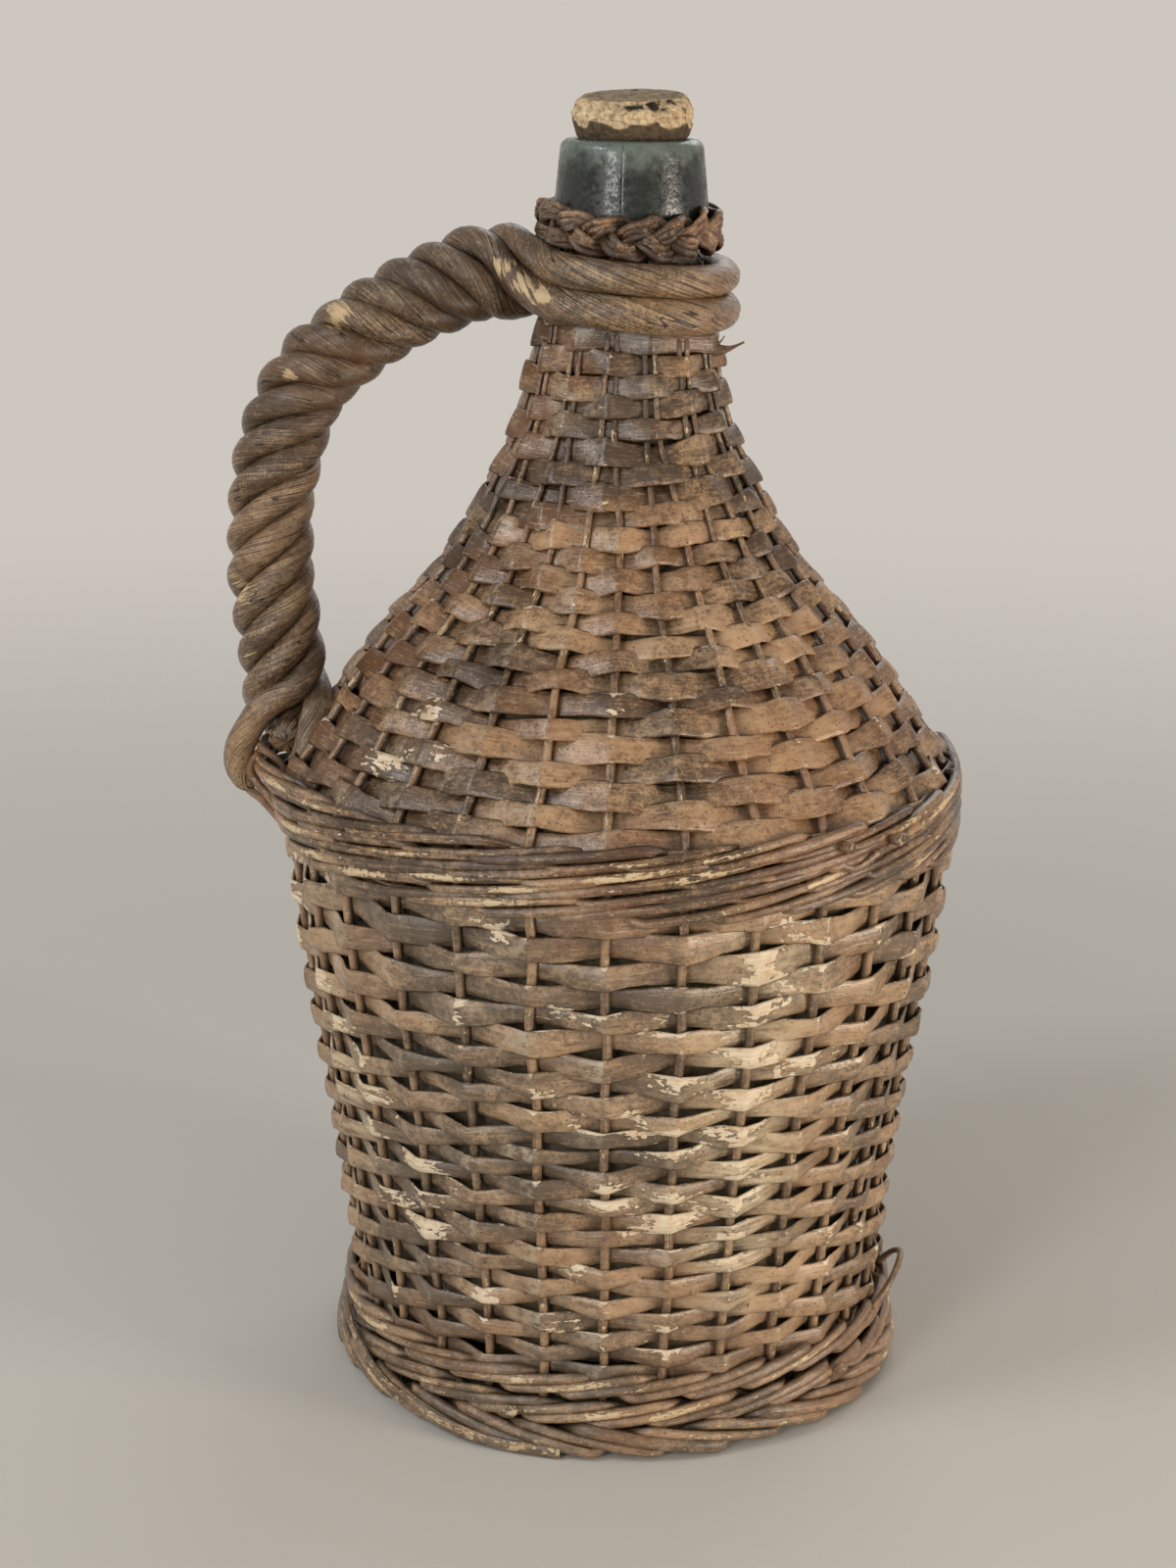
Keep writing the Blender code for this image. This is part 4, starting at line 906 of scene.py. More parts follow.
# %% The plait
plait_low, plait_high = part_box("plait_strand_1")
PLAIT_PERIODS = 5
PLAIT_RISE = 4.7 * MM
PLAIT_RADIUS = 31.6 * MM
PLAIT_SWING = 2.9 * MM
PLAIT_ROD = 1.35 * MM
PLAIT_SPACING = 1.95 * MM
PLAIT_TILT = math.radians(2.5)
PLAIT_SADDLE = 1.5 * MM  # the collar hangs lower at the front and the back than at the sides
PLAIT_TIGHTER = 1.3 * MM  # it lies this much closer to the neck at the right, and its strands swing further there
plait_height = (plait_low.z + plait_high.z) / 2 - 0.9 * MM
turn = np.linspace(0, math.tau, 420, endpoint=False)
for strand in range(3):
    phase = PLAIT_PERIODS * turn + math.tau * strand / 3
    slant = PLAIT_RISE * np.cos(phase) * PLAIT_PERIODS / PLAIT_RADIUS
    inner = (1 - ease((np.sin(2 * phase) + 1) / 1.4))[:, None]
    for side in (-1, 0, 1):
        thread = 3 * strand + side
        aside = side * PLAIT_SPACING
        uneven = 0.5 * MM * wander(turn, 0.5, 800 + strand) + 0.4 * MM * wander(turn, 0.23, 830 + thread)
        radius = PLAIT_RADIUS + PLAIT_SWING * np.sin(2 * phase) + uneven
        radius = radius - PLAIT_TIGHTER * np.clip(np.cos(turn), 0, 1)
        fuller = 1 + 0.12 * wander(turn, 0.9, 840 + strand) + 0.22 * np.clip(np.cos(turn - 0.3), 0, 1)
        up = plait_height + PLAIT_RISE * np.sin(phase) * fuller + aside / np.hypot(1, slant)
        up = up + 0.45 * MM * wander(turn, 0.31, 850 + thread) + PLAIT_SADDLE * np.cos(2 * turn)
        around = turn - aside * slant / np.hypot(1, slant) / PLAIT_RADIUS
        path, outward = polar(radius, around, up), polar(1.0, around, 0.0)
        path[:, 2] -= math.tan(PLAIT_TILT) * path[:, 0]
        rod = PLAIT_ROD * (1 + 0.16 * wander(turn, 0.45, 860 + thread))
        places = rod_places(path, outward, rod, ROD_SIDES, 810 + thread, closed=True, rough=0.16, flat=1.15)
        shade = np.clip(0.8 * inner + 0.7 * (1 - facing_out(ROD_SIDES)) ** 2, 0, 1)
        piece(
            f"plait_strand_{strand + 1}_rod_{side + 2}", places, plait_willow, closed=True,
            marks={"wear": 0.15, "shade": shade, "tone": np.full((1, 1), 0.6 * side)},
            replaced=[f"plait_strand_{strand + 1}"] if side > 0 else [],
        )
print("plait at", round(plait_height / MM, 1), "mm")

# %% [markdown]
# ## The handle
# Two thick rods were steamed, bent round the neck, and their four ends twisted into a rope. The rope's centre is one
# smooth curve through chosen points. Each strand is a helix round it, whose twist dies away at both ends, where the
# strands leave for the loops or for the waist. In the rope the strands press each other flat, so their section is
# narrower across than it is deep. A twisted bar or a Screw modifier would look the same all along, and couldn't part
# at its ends.

# %% The rope's centre
LOOP_ROD = 6.8 * MM
LOOP_RADIUS = 35.2 * MM
LOWER_LOOP = 425.0 * MM
UPPER_LOOP = 437.6 * MM
ROPE_HELIX = 10.4 * MM
ROPE_DEEP = 6.7 * MM
ROPE_ACROSS = 5.9 * MM
ROPE_TURNS = 3 + 23 / 36
ROPE_TIGHTER = 0.09  # the twist is this much tighter at the neck, as a share of its mean
ROPE_LEAD_IN = math.radians(-55)  # the strands are still turning when they reach the neck
JUNCTION_LENGTH = 4.5 * MM
ROPE_FULLER = 1.0 * MM  # the rope opens by this much where its strands part at the neck
SPLICE_HEIGHT = 30 * MM
NECK_PULL = 9 * MM
LOOP_DIP = 0.035  # the loops also hang a little lower at the front
HANDLE_STANDOFF = 6.4 * MM
HANDLE_ROUTE_SHARES = np.array(
    [
        (0.0, 0.0), (0.108, 0.005), (0.22, 0.027), (0.34, 0.056), (0.48, 0.097), (0.635, 0.156), (0.74, 0.206),
        (0.845, 0.268), (0.918, 0.35), (0.97, 0.443), (1.0, 0.537), (1.01, 0.637), (1.008, 0.737), (0.993, 0.818),
        (0.977, 0.9), (0.962, 1.0),
    ]
)
junction_x = -(LOOP_RADIUS + LOOP_ROD + JUNCTION_LENGTH)
junction_z = (LOWER_LOOP + UPPER_LOOP) / 2 - math.tan(NECK_TILT) * junction_x + 0.6 * MM
reach_x = -(float(crest(WAIST_HIGH)) + HANDLE_STANDOFF)
rope_foot = WAIST_HIGH + SPLICE_HEIGHT


def bezier(start, start_pull, end_pull, end, shares):
    """Places on a cubic curve: the four points weighted by the shares' cubic terms."""
    t = np.asarray(shares)[:, None]
    return start * (1 - t) ** 3 + start_pull * 3 * t * (1 - t) ** 2 + end_pull * 3 * t**2 * (1 - t) + end * t**3


def smooth_route(points, step):
    """Evenly spaced places on a smooth curve through the points, and the distance travelled to each."""
    padded = np.concatenate([[2 * points[0] - points[1]], points, [2 * points[-1] - points[-2]]])
    fine = [points[:1]]
    for a, b, c, d in zip(padded, padded[1:], padded[2:], padded[3:]):
        fine.append(bezier(b, b + (c - a) / 6, c - (d - b) / 6, c, np.arange(1, 25) / 24))
    fine = np.concatenate(fine)
    travelled = lengths(fine)
    even = np.linspace(0, travelled[-1], int(travelled[-1] / step) + 1)
    return np.stack([np.interp(even, travelled, fine[:, axis]) for axis in range(3)], axis=1), even


out_share, down_share = HANDLE_ROUTE_SHARES.T
route_x = junction_x + (reach_x - junction_x) * out_share
route_z = junction_z + (rope_foot - junction_z) * down_share
rope, rope_at = smooth_route(np.stack([route_x, np.zeros(len(route_x)), route_z], axis=1)[::-1], 1.5 * MM)
rope_length = rope_at[-1]
print("rope length", round(rope_length / MM, 1), "mm, lead", round(rope_length / ROPE_TURNS / MM, 1), "mm")

# %% The four strands
def twist_share(along):
    """The share of the twist made by each distance: along plus a little of its square, scaled to end at 1."""
    share = along / rope_length
    return (share + ROPE_TIGHTER * share**2) / (1 + ROPE_TIGHTER)


rope_forward = directions(rope)
rope_outer = np.stack([-rope_forward[:, 2], np.zeros(len(rope)), rope_forward[:, 0]], axis=1)
rope_front = np.cross(rope_forward, rope_outer)


def rope_strand(end_phase):
    """A helix round the rope's centre, and the direction from the centre to the strand."""
    phase = end_phase + ROPE_LEAD_IN - math.tau * ROPE_TURNS * (1 - twist_share(rope_at))
    aside = rope_outer * np.cos(phase)[:, None] + rope_front * np.sin(phase)[:, None]
    helix = ROPE_HELIX + ROPE_FULLER * ease((rope_at - rope_length) / (50 * MM) + 1)
    return rope + helix[:, None] * aside, aside


def neck_loop(height):
    """The loop from the front of the handle's side, round the far side, to the back. It is tilted like the rings at
    the neck."""
    start = math.pi + math.acos(LOOP_RADIUS / -junction_x)
    angle = np.linspace(start, 4 * math.pi - start, 130)
    ring = polar(LOOP_RADIUS, angle, height)
    ring[:, 2] += LOOP_DIP * ring[:, 1] - math.tan(NECK_TILT) * ring[:, 0]
    return ring, polar(1.0, angle, 0.0)


JOIN_SHARES = np.arange(1, 12) / 12


def joined(first, second):
    """Places between two paths, on a curve that leaves the first and meets the second in their own directions."""
    leave = NECK_PULL * unit(first[-1] - first[-3])
    arrive = NECK_PULL * unit(second[2] - second[0])
    return bezier(first[-1], first[-1] + leave, second[0] - arrive, second[0], JOIN_SHARES)


# Where the four ends go, in millimetres: round the outside of the eye and under it, and down beside the wall
HOOK = (
    (-139.5, -11.5, 269), (-146, -9.5, 260), (-150.5, -5.5, 251), (-151.8, -2, 243), (-149.3, 0, 237), (-145, 0, 234.3),
)
FRONT_TAIL = ((-119.5, -7, 269), (-121.5, -14, 260), (-124.5, -19, 252), (-128, -22, 245))
STUB = ((-128.5, 3, 268), (-129.5, -3, 262.5), (-130.5, -9, 258), (-131, -16, 255.5))
BACK_TAIL = ((-144, 8, 268), (-140.5, 14, 260), (-138.5, 20, 248))


def free_end(strand, points):
    """A strand's free end, from its tip: a smooth curve through the points, into the strand's own direction."""
    leave = unit(strand[0] - strand[2])
    whole = np.concatenate([[strand[0] - leave * 6 * MM, strand[0]], np.array(points) * MM])
    curve, at = smooth_route(whole, 1.5 * MM)
    return curve[at > 7.5 * MM][::-1]


print("a strand in the rope is", round(lengths(rope_strand(0.0)[0])[-1] / MM, 1), "mm long")

# %% The two rods
# Patches where the skin has peeled off the rope: place and reach in millimetres
PEELED = (
    (-34, -27, 430, 7), (-40, -22, 434, 8), (-47, -16, 439, 6), (-110, -11, 421, 9), (-127, -13, 398, 5),
    (-150, -12, 315, 9), (-148, -14, 287, 7),
)
HANDLE_SIDES = 28
HANDLE_SLANT = 0.42  # the rods' own grain winds round them by this much of its length


def handle_rod(name, phases, loop_height, loop_rod, end_points, tips, seed):
    """One rod: a free end, up the rope, round the neck, back down the rope and out at the other free end. tips are
    the sizes of its two ends, as shares of the rod's."""
    (front, front_aside), (back, back_aside) = (rope_strand(math.radians(phase)) for phase in phases)
    start, end = free_end(front, end_points[0]), free_end(back, end_points[1])[::-1]
    back, back_aside = back[::-1], back_aside[::-1]
    loop, loop_out = neck_loop(loop_height)
    path = np.concatenate([start, front, joined(front, loop), loop, joined(loop, back), back, end])
    fade = JOIN_SHARES[:, None]
    aside = np.concatenate(
        [
            np.repeat(front_aside[:1], len(start), axis=0),
            front_aside,
            front_aside[-1] * (1 - fade) + loop_out[0] * fade,
            loop_out,
            loop_out[-1] * (1 - fade) + back_aside[0] * fade,
            back_aside,
            np.repeat(back_aside[-1:], len(end), axis=0),
        ]
    )
    in_rope = np.concatenate(
        [
            np.linspace(0.5, 1, len(start)), np.ones(len(front)), 1 - JOIN_SHARES, np.zeros(len(loop)), JOIN_SHARES,
            np.ones(len(back)), np.linspace(1, 0.5, len(end)),
        ]
    )
    travelled = lengths(path)
    from_end = np.minimum(travelled, travelled[-1] - travelled)
    end_share = np.where(travelled < travelled[-1] / 2, tips[0], tips[1])
    tip = end_share + (1 - end_share) * ease(from_end / (26 * MM)) - 0.35 * hump(from_end, 1.5 * MM)
    swell = (1 + 0.045 * wander(travelled, 45 * MM, seed)) * tip
    deep = (loop_rod + (ROPE_DEEP - loop_rod) * in_rope) * swell
    wide = (loop_rod + (ROPE_ACROSS - loop_rod) * in_rope) * swell
    turn = np.linspace(0, math.tau, HANDLE_SIDES, endpoint=False)
    along, column = travelled[:, None], np.arange(HANDLE_SIDES)[None, :]
    spiral = along / (2.4 * MM) * 0.05
    wrinkle = noise(along / (16 * MM), column * 0.85 + spiral, seed + 1)
    furrow = np.minimum(0, noise(along / (22 * MM), column * 0.6 + spiral + 40, seed + 2) + 0.35)
    frayed = hump(from_end, 7 * MM)[:, None] * noise(along / (5 * MM), column * 1.1, seed + 4)
    relief = 1 + 0.025 * wrinkle + 0.085 * furrow + 0.28 * frayed
    places = sweep(path, aside, np.cos(turn), np.sin(turn), wide[:, None] * relief, deep[:, None] * relief)
    peeled = np.zeros(places.shape[:2])
    for x, y, z, reach in PEELED:
        away = np.linalg.norm(places - np.array([x, y, z]) * MM, axis=2) / (reach * MM)
        peeled = np.maximum(peeled, spot_share(away))
    facing = np.sin(turn)[None, :]
    marks = {
        "wear": 0.30 * hump(from_end, 10 * MM)[:, None] + 0.10 * np.clip(facing, 0, 1) + 0.72 * peeled,
        "shade": np.clip(0.80 - 2.2 * facing, 0, 1) * in_rope[:, None] + np.clip(-furrow * 1.1, 0, 0.6),
        "tone": (0.35 * wander(travelled, 120 * MM, seed + 3) + 0.75 * (1 - in_rope))[:, None],
    }
    grain = (travelled, np.linspace(0, math.tau * LOOP_ROD, HANDLE_SIDES + 1), HANDLE_SLANT)
    piece(f"{name}_bark", places, handle_willow, marks=marks, grain=grain, replaced=[name])
    print(name, "length", round(travelled[-1], 2), "m")


handle_rod("handle_rod_a", (45, 315), UPPER_LOOP, 6.1 * MM, (HOOK, BACK_TAIL), (0.86, 0.70), 901)
handle_rod("handle_rod_b", (135, 225), LOWER_LOOP, LOOP_ROD, (FRONT_TAIL, STUB), (0.52, 1.12), 911)

# %% [markdown]
# ## Loose ends
# A hand-made basket shows where rods begin and stop. A split lath runs along the outside of the border at the front
# left, rod ends poke out of the bands, a thin rod makes a small loop at the foot, two rods of the eye bind the hook,
# and a strip has torn at the neck. Each is a short rod through a few given points, because chance put them where
# they are and no formula would.

# %% Ends, a loop, a lath and a splinter
def loose_rod(name, seed, radius, worn, points, flat=1.0, tip=1.0):
    """A rod through the points. Its radius and they are in millimetres. flat widens it along its upright side, and
    tip scales its last end."""
    path, at = smooth_route(np.array(points, float) * MM, 1.2 * MM)
    outward = unit(path * [1, 1, 0])
    thinner = radius * MM * (1 + (tip - 1) * ease(at / at[-1] * 1.6 - 0.6))
    places = rod_places(path, outward, thinner, ROD_SIDES, seed, rough=0.12, flat=flat)
    end = hump(np.minimum(at, at[-1] - at), 1.2 * MM)[:, None]
    piece(name, places, rod_willow, marks={"wear": worn + 0.1 * end, "shade": 0.15 + 0.3 * end})


lath_turn = np.radians(np.linspace(196, 259, 12))
lath_radius = 114.6 + 2.2 * np.sin(np.linspace(0, math.pi, 12))
lath_height = np.interp(np.linspace(0, 1, 12), [0, 0.35, 0.7, 1], [25, 10.5, 4.2, 2.8])
loose_rod("foot_lath", 1001, 1.25, 0.42, polar(lath_radius, lath_turn, lath_height), flat=2.0)
loose_rods = (
    (
        "foot_rod_loop", 1002, 1.3, 0.15,
        ((102, -44, 30), (110, -37, 39), (115, -25, 45), (113.5, -13, 41), (108, -7, 33)),
    ),
    ("foot_end_right", 1003, 2.1, 0.3, ((80, -70, 13), (84.5, -74, 16), (88.5, -77, 22))),
    ("foot_end_front", 1004, 2.1, 0.5, ((-46, -96, 12), (-42, -106, 16), (-40, -111.5, 20))),
    ("waist_end_1", 1005, 2.0, 0.3, ((68, -90, 239), (76, -104, 243), (80.5, -111, 244))),
    ("waist_end_2", 1006, 2.0, 0.3, ((88, -78, 238), (95, -89.5, 241.5), (99.5, -95.5, 242.5))),
    ("waist_shaving", 1007, 0.8, 0.3, ((64, -113, 233), (75, -109, 237), (83, -105, 234.5), (92, -99, 239)), 1.8),
    (
        "eye_rod_over_hook", 1010, 1.7, 0.1,
        (
            (-124, -44, 231), (-131, -27, 228.5), (-138, -14.5, 232), (-143.5, -9.5, 237), (-146.5, -8.5, 242.5),
            (-143.5, -9, 248.5), (-138, -10, 253),
        ),
    ),
    (
        "eye_rod_under_hook", 1011, 1.6, 0.1,
        ((-129, -34, 226), (-137, -18, 228), (-143, -8, 230.5), (-148, -2, 232.5), (-150, 4, 234.5)),
    ),
    (
        "neck_splinter", 1008, 0.8, 0.1,
        ((24, -14, 407.5), (30.5, -11.5, 408), (37, -10, 408.5), (43, -9, 411)), 2.6, 0.35,
    ),
    ("neck_splinter_small", 1009, 0.5, 0.1, ((28, -12, 408), (33.5, -11.5, 411), (35.5, -11, 413.5)), 2.0, 0.4),
)
for rod in loose_rods:
    loose_rod(*rod)
print("loose ends:", 1 + len(loose_rods))

# %% [markdown]
# ## The bottle
# Demijohns are blown in dark green glass, and the lip is a thick ring of glass laid on while hot. Only the lip shows
# above the plait, and the body shows as darkness between the strips. The shape is a profile turned about the axis.
# Its body follows the CAD bottle. The lip has rounder corners and is a little out of true, as blown glass is, which a
# Screw modifier couldn't give it.

# %% Green glass
# Old bottle glass is smooth and nearly black in its thickness, and hazed by scuffs that blur its reflections
glass, tree, shader = new_material("green_bottle_glass_dulled_by_handling")
place = add(tree, "ShaderNodeTexCoord", out="Object")
height = add(tree, "ShaderNodeSeparateXYZ", {0: place}, out="Z")
scuffs = add(tree, "ShaderNodeTexNoise", {"Vector": place, "Scale": 1 / (2.2 * MM), "Detail": 4.0, "Roughness": 0.65})
clouds = add(tree, "ShaderNodeTexNoise", {"Vector": place, "Scale": 1 / (11 * MM), "Detail": 3.0, "Roughness": 0.6})
# The shade mark paints the mould seam on the lip as a dark line: painted shade
painted_seam_shade = add(tree, "ShaderNodeAttribute", out="Fac", attribute_name="shade")
# The glass pales upwards over a ragged border: frost on the lip, and painted light for the light that enters its rim
LIP_PALE_LOW = 488 * MM
LIP_PALE_HIGH = 503 * MM
frost_and_painted_light = soft_share(tree, (total(tree, height, (34 * MM, clouds)), LIP_PALE_LOW, LIP_PALE_HIGH))
# Paler lower down, inside the casing: a painted reflection for the glass seen between the strips, and dust that sifts
# through the weave onto it
paler_low_down = add(tree, "ShaderNodeMapRange", {0: height, 1: 440 * MM, 2: 452 * MM, 3: 0.7, 4: 0.0})
tint = painted(tree, "#1b211e", (frost_and_painted_light, "#6a756c"), (painted_seam_shade, "#0c100e"), (paler_low_down, "#75664f"))
film = add(tree, "ShaderNodeMapRange", {0: scuffs, 1: 0.42, 2: 0.60, 3: 0.10, 4: 0.50})
dents = add(tree, "ShaderNodeBump", {"Strength": 0.45, "Distance": 0.4 * MM, "Height": scuffs})
feed(shader, {"Base Color": tint, "Roughness": film, "Normal": dents, "IOR": 1.52, "Transmission Weight": 0.15})
print("glass:", glass.name)

# %% The bottle's profile
heights, least, greatest = rings(corners("bottle"))
bottom, glass_top = heights[0], heights[-1]
mouth_radius = least[-1]
INSIDE = 20 * MM  # rings of the bore are smaller than this, rings of the outside are greater
outside = np.stack([heights, greatest], axis=1)[greatest > INSIDE]
is_lip = outside[:, 0] > plait_high.z
(lip_bottom, lip_low_radius), (_, lip_high_radius) = outside[is_lip][:2]
LIP_HIDDEN = 7.0 * MM  # the plait hides this much of the lip below the CAD lip's lower edge
lip_skirt = lip_bottom - LIP_HIDDEN
LIP_ROUND = 3.6 * MM
LIP_LOW_ROUND = 1.4 * MM
MOUTH_ROUND = 1.2 * MM
FOOT_ROUND = 9 * MM
BORE = 17.7 * MM
BORE_DEPTH = 26 * MM
WALL = 4.2 * MM
AXIS = 0.4 * MM  # a profile starts and ends this far from the axis


def arc(centre_radius, centre_height, size, start, end, steps):
    """A round corner of the profile, as (radius, height) rows from one angle to another, in degrees."""
    angle = np.radians(np.linspace(start, end, steps))
    return np.stack([centre_radius + size * np.cos(angle), centre_height + size * np.sin(angle)], axis=1)


body_heights = np.linspace(bottom + FOOT_ROUND, lip_skirt, 90)
body = np.stack([np.interp(body_heights, *outside[~is_lip].T), body_heights], axis=1)
foot_ring = body[0, 0]
lip_radii = np.linspace(lip_low_radius, lip_high_radius, 8)[1:-1]
profile = np.concatenate(
    [
        [(AXIS, bottom + 14 * MM), (foot_ring * 0.5, bottom + 10 * MM)],
        arc(foot_ring - FOOT_ROUND, bottom + FOOT_ROUND, FOOT_ROUND, -90, -5, 8),
        body,
        arc(lip_low_radius - LIP_LOW_ROUND, lip_skirt + LIP_LOW_ROUND, LIP_LOW_ROUND, -90, 0, 6),
        np.stack([lip_radii, np.linspace(lip_skirt, glass_top, 10)[2:-2]], axis=1),
        arc(lip_high_radius - LIP_ROUND, glass_top - LIP_ROUND, LIP_ROUND, 5, 90, 9),
        arc(mouth_radius + MOUTH_ROUND, glass_top - MOUTH_ROUND, MOUTH_ROUND, 90, 180, 5),
        [(BORE, glass_top - BORE_DEPTH), (BORE, WALL_HIGH)],
        (body - [WALL, 0])[::-1][12:],
        [(foot_ring - 16 * MM, bottom + 7 * MM), (foot_ring * 0.5, bottom + 17 * MM), (AXIS, bottom + 21 * MM)],
    ]
)
SEGMENTS = 160
SEAM = math.radians(262)  # a line left by the mould
turn = np.linspace(0, math.tau, SEGMENTS, endpoint=False)
turn = np.sort(np.concatenate([turn[np.abs(turn - SEAM) > 0.03], SEAM + np.radians([-1.1, -0.5, 0.0, 0.5, 1.1])]))
turn = turn[:, None]
radius, height = profile.T[:, None, :]
at_seam = hump(turn - SEAM, math.radians(0.4))
is_lip_row = height > lip_skirt - MM
out_of_true = 1 + 0.006 * np.sin(2 * turn + 0.7) * is_lip_row - 0.003 * at_seam
out_of_true = out_of_true + 0.0012 * noise(turn * 5, height / (6 * MM), 31)
places = polar(radius * out_of_true, turn, height)
# Painted shade along the mould seam on the lip
marks = {"shade": 0.7 * at_seam * is_lip_row}
piece("bottle_glass", places, glass, closed=True, marks=marks, replaced=["bottle"])
print("lip", round(2 * lip_low_radius / MM, 1), "mm across, its top at", round(glass_top / MM, 1), "mm")

# %% [markdown]
# ## The cork
# A cork of this size is cut from bark, so its belt shows dark pores. Its upper edge has crumbled, which bares lighter
# grains, and drying has split the flat top. The lump is a turned profile pushed in and out by three sizes of noise.
# Sculpting would give the same crumbs, but noise makes them again at each run.

# %% Cork bark
# Cork is cut bark: matt, grainy and pitted, dark on its belt and pale where it has crumbled
bark, tree, shader = new_material("cork_bark_crumbled")
place = add(tree, "ShaderNodeTexCoord", out="Object")
crumbs = {"Vector": place, "Scale": 1 / (1.3 * MM), "Randomness": 1.0}
crumbs = add(tree, "ShaderNodeTexVoronoi", crumbs, out="Distance")
grain = add(tree, "ShaderNodeTexNoise", {"Vector": place, "Scale": 1 / (2.4 * MM), "Detail": 5.0, "Roughness": 0.72})
pores = add(tree, "ShaderNodeTexNoise", {"Vector": place, "Scale": 1 / (3.4 * MM), "Detail": 3.0, "Roughness": 0.6})
torn = add(tree, "ShaderNodeAttribute", out="Fac", attribute_name="wear")
# The shade mark: painted shade in the cracks, the pit and the hollows of the torn edge, and dark blots on the belt
painted_shade_and_blots = add(tree, "ShaderNodeAttribute", out="Fac", attribute_name="shade")
uneven = add(tree, "ShaderNodeMapRange", {0: grain, 1: 0.28, 2: 0.58})
holes = add(tree, "ShaderNodeMapRange", {0: pores, 1: 0.60, 2: 0.68, 3: 0.0, 4: 0.9})
belt, fresh = painted(tree, "#261e17", (uneven, "#5a4932")), painted(tree, "#7d6142", (uneven, "#e0c7a0"))
colour = painted(tree, belt, (torn, fresh), (holes, "#2e241a"), (painted_shade_and_blots, "#241b13"))
lumpy = total(tree, grain, (0.8, crumbs))
dents = add(tree, "ShaderNodeBump", {"Strength": 0.8, "Distance": 0.9 * MM, "Height": lumpy})
feed(shader, {"Base Color": colour, "Normal": dents, "Roughness": 0.88})
print("cork:", bark.name)

# %% The cork's lump
cork_low, cork_high = (corner.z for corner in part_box("cork"))
PLUG_TIP = 17.4 * MM
HEAD_BELT = 21.0 * MM
HEAD_WIDEST = 22.6 * MM
HEAD_TOP = 18.6 * MM
corner_points = np.array(
    [
        (0.3 * MM, cork_low), (PLUG_TIP - 1 * MM, cork_low), (PLUG_TIP, cork_low + 1 * MM),
        (mouth_radius - 0.4 * MM, glass_top - 0.3 * MM), (mouth_radius, glass_top + 0.4 * MM),
        (HEAD_BELT, glass_top + 1.2 * MM), (HEAD_WIDEST, glass_top + 6.4 * MM), (HEAD_WIDEST, glass_top + 9.4 * MM),
        (21.6 * MM, glass_top + 12.2 * MM), (HEAD_TOP + 1.4 * MM, glass_top + 14.2 * MM),
        (HEAD_TOP, cork_high + 0.2 * MM), (HEAD_TOP - 2.0 * MM, cork_high + 0.4 * MM),
        (0.3 * MM, cork_high + 0.3 * MM),
    ]
)
at = lengths(corner_points)
drop = np.linspace(0, at[-1], 170)[None, :]
even_radius, height = (np.interp(drop, at, corner_points[:, i]) for i in range(2))
turn = np.linspace(0, math.tau, 260, endpoint=False)[:, None]
girth = turn * HEAD_WIDEST


def cork_noise(around, down, seed):
    """Noise on the cork's side, from the size of its cells round it and down it."""
    return noise(girth / (around * MM), drop / (down * MM), seed)


broad, lumps = cork_noise(8, 8, 53), cork_noise(3.2, 2.6, 50)
crumbs = cork_noise(1.5, 1.3, 51) + 0.6 * cork_noise(0.8, 0.8, 52)
torn_from = glass_top + 5.4 * MM + 2.4 * MM * noise(girth / (6 * MM), girth * 0, 57) + 1.2 * MM * lumps
torn = band(height, torn_from, 0.7 * MM, cork_high + 0.2 * MM, 0.8 * MM)
above = ease((height - glass_top - 0.5 * MM) / (1 * MM))
push = above * (0.30 * MM * broad) + torn * (0.75 * MM * lumps + 0.75 * MM * crumbs - 0.45 * MM)
push = push + 0.04 * MM * crumbs * above
radius = np.maximum(even_radius + push * np.clip(even_radius / (8 * MM), 0, 1), 0.05 * MM)
x, y = radius * np.cos(turn), radius * np.sin(turn)
top = ease((height - cork_high + 1.0 * MM) / (1.0 * MM))
sag = ease((height - glass_top - 5 * MM) / (9 * MM)) * (0.085 * y + 0.028 * x + 0.5 * MM)  # the top was cut aslant
# Two cracks run across the top, and the second ends short of the handle's side
crack_line = np.abs(y + 3.0 * MM + 0.08 * x + 0.5 * MM * noise(x / (4 * MM), x * 0, 54))
second_line = np.abs(y + 8.5 * MM - 0.05 * x + 0.4 * MM * noise(x / (5 * MM), x * 0 + 9, 55))
second_crack = (1 - ease(second_line / (1.0 * MM))) * (x > -12 * MM)
crack = top * np.maximum(1 - ease(crack_line / (1.1 * MM)), second_crack)
# A pit is torn out of the front edge
PIT_ANGLE = math.radians(290)
from_pit = (height - glass_top - 13.3 * MM - 1.3 * MM * lumps) / (1.0 * MM)
pit_place = ((turn - PIT_ANGLE) / 0.58) ** 4 + from_pit**2
pit = ease(torn * 1.5) * np.exp(-pit_place) * np.clip(0.75 + 0.5 * crumbs + 0.9 * cork_noise(3, 2, 59), 0, 1.2)
shrink = 1 - np.clip(pit, 0, 1) * 1.8 * MM / np.maximum(radius, MM)
z = height + sag - 0.9 * MM * crack + 0.12 * MM * top * noise(x / (2 * MM), y / (2 * MM), 56)
places = np.stack([x * shrink, y * shrink, z], axis=2)
blots = (1 - torn) * above * np.clip(3.0 * cork_noise(4, 2.5, 58) - 1.5, 0, 1)
# Painted shade in the cracks, the pit and the hollows of the torn edge, and dark blots on the belt
shade = np.clip(crack + 2.6 * pit + 0.30 * torn * np.clip(-lumps - 0.1, 0, 1) + 0.85 * blots, 0, 1)
marks = {"wear": np.clip(torn + 0.45 * top, 0, 1), "shade": shade}
piece("cork_bark_plug", places, bark, body="stopper", closed=True, marks=marks, replaced=["cork"])
print("cork from", round(cork_low / MM, 1), "to", round(z.max() / MM, 1), "mm")

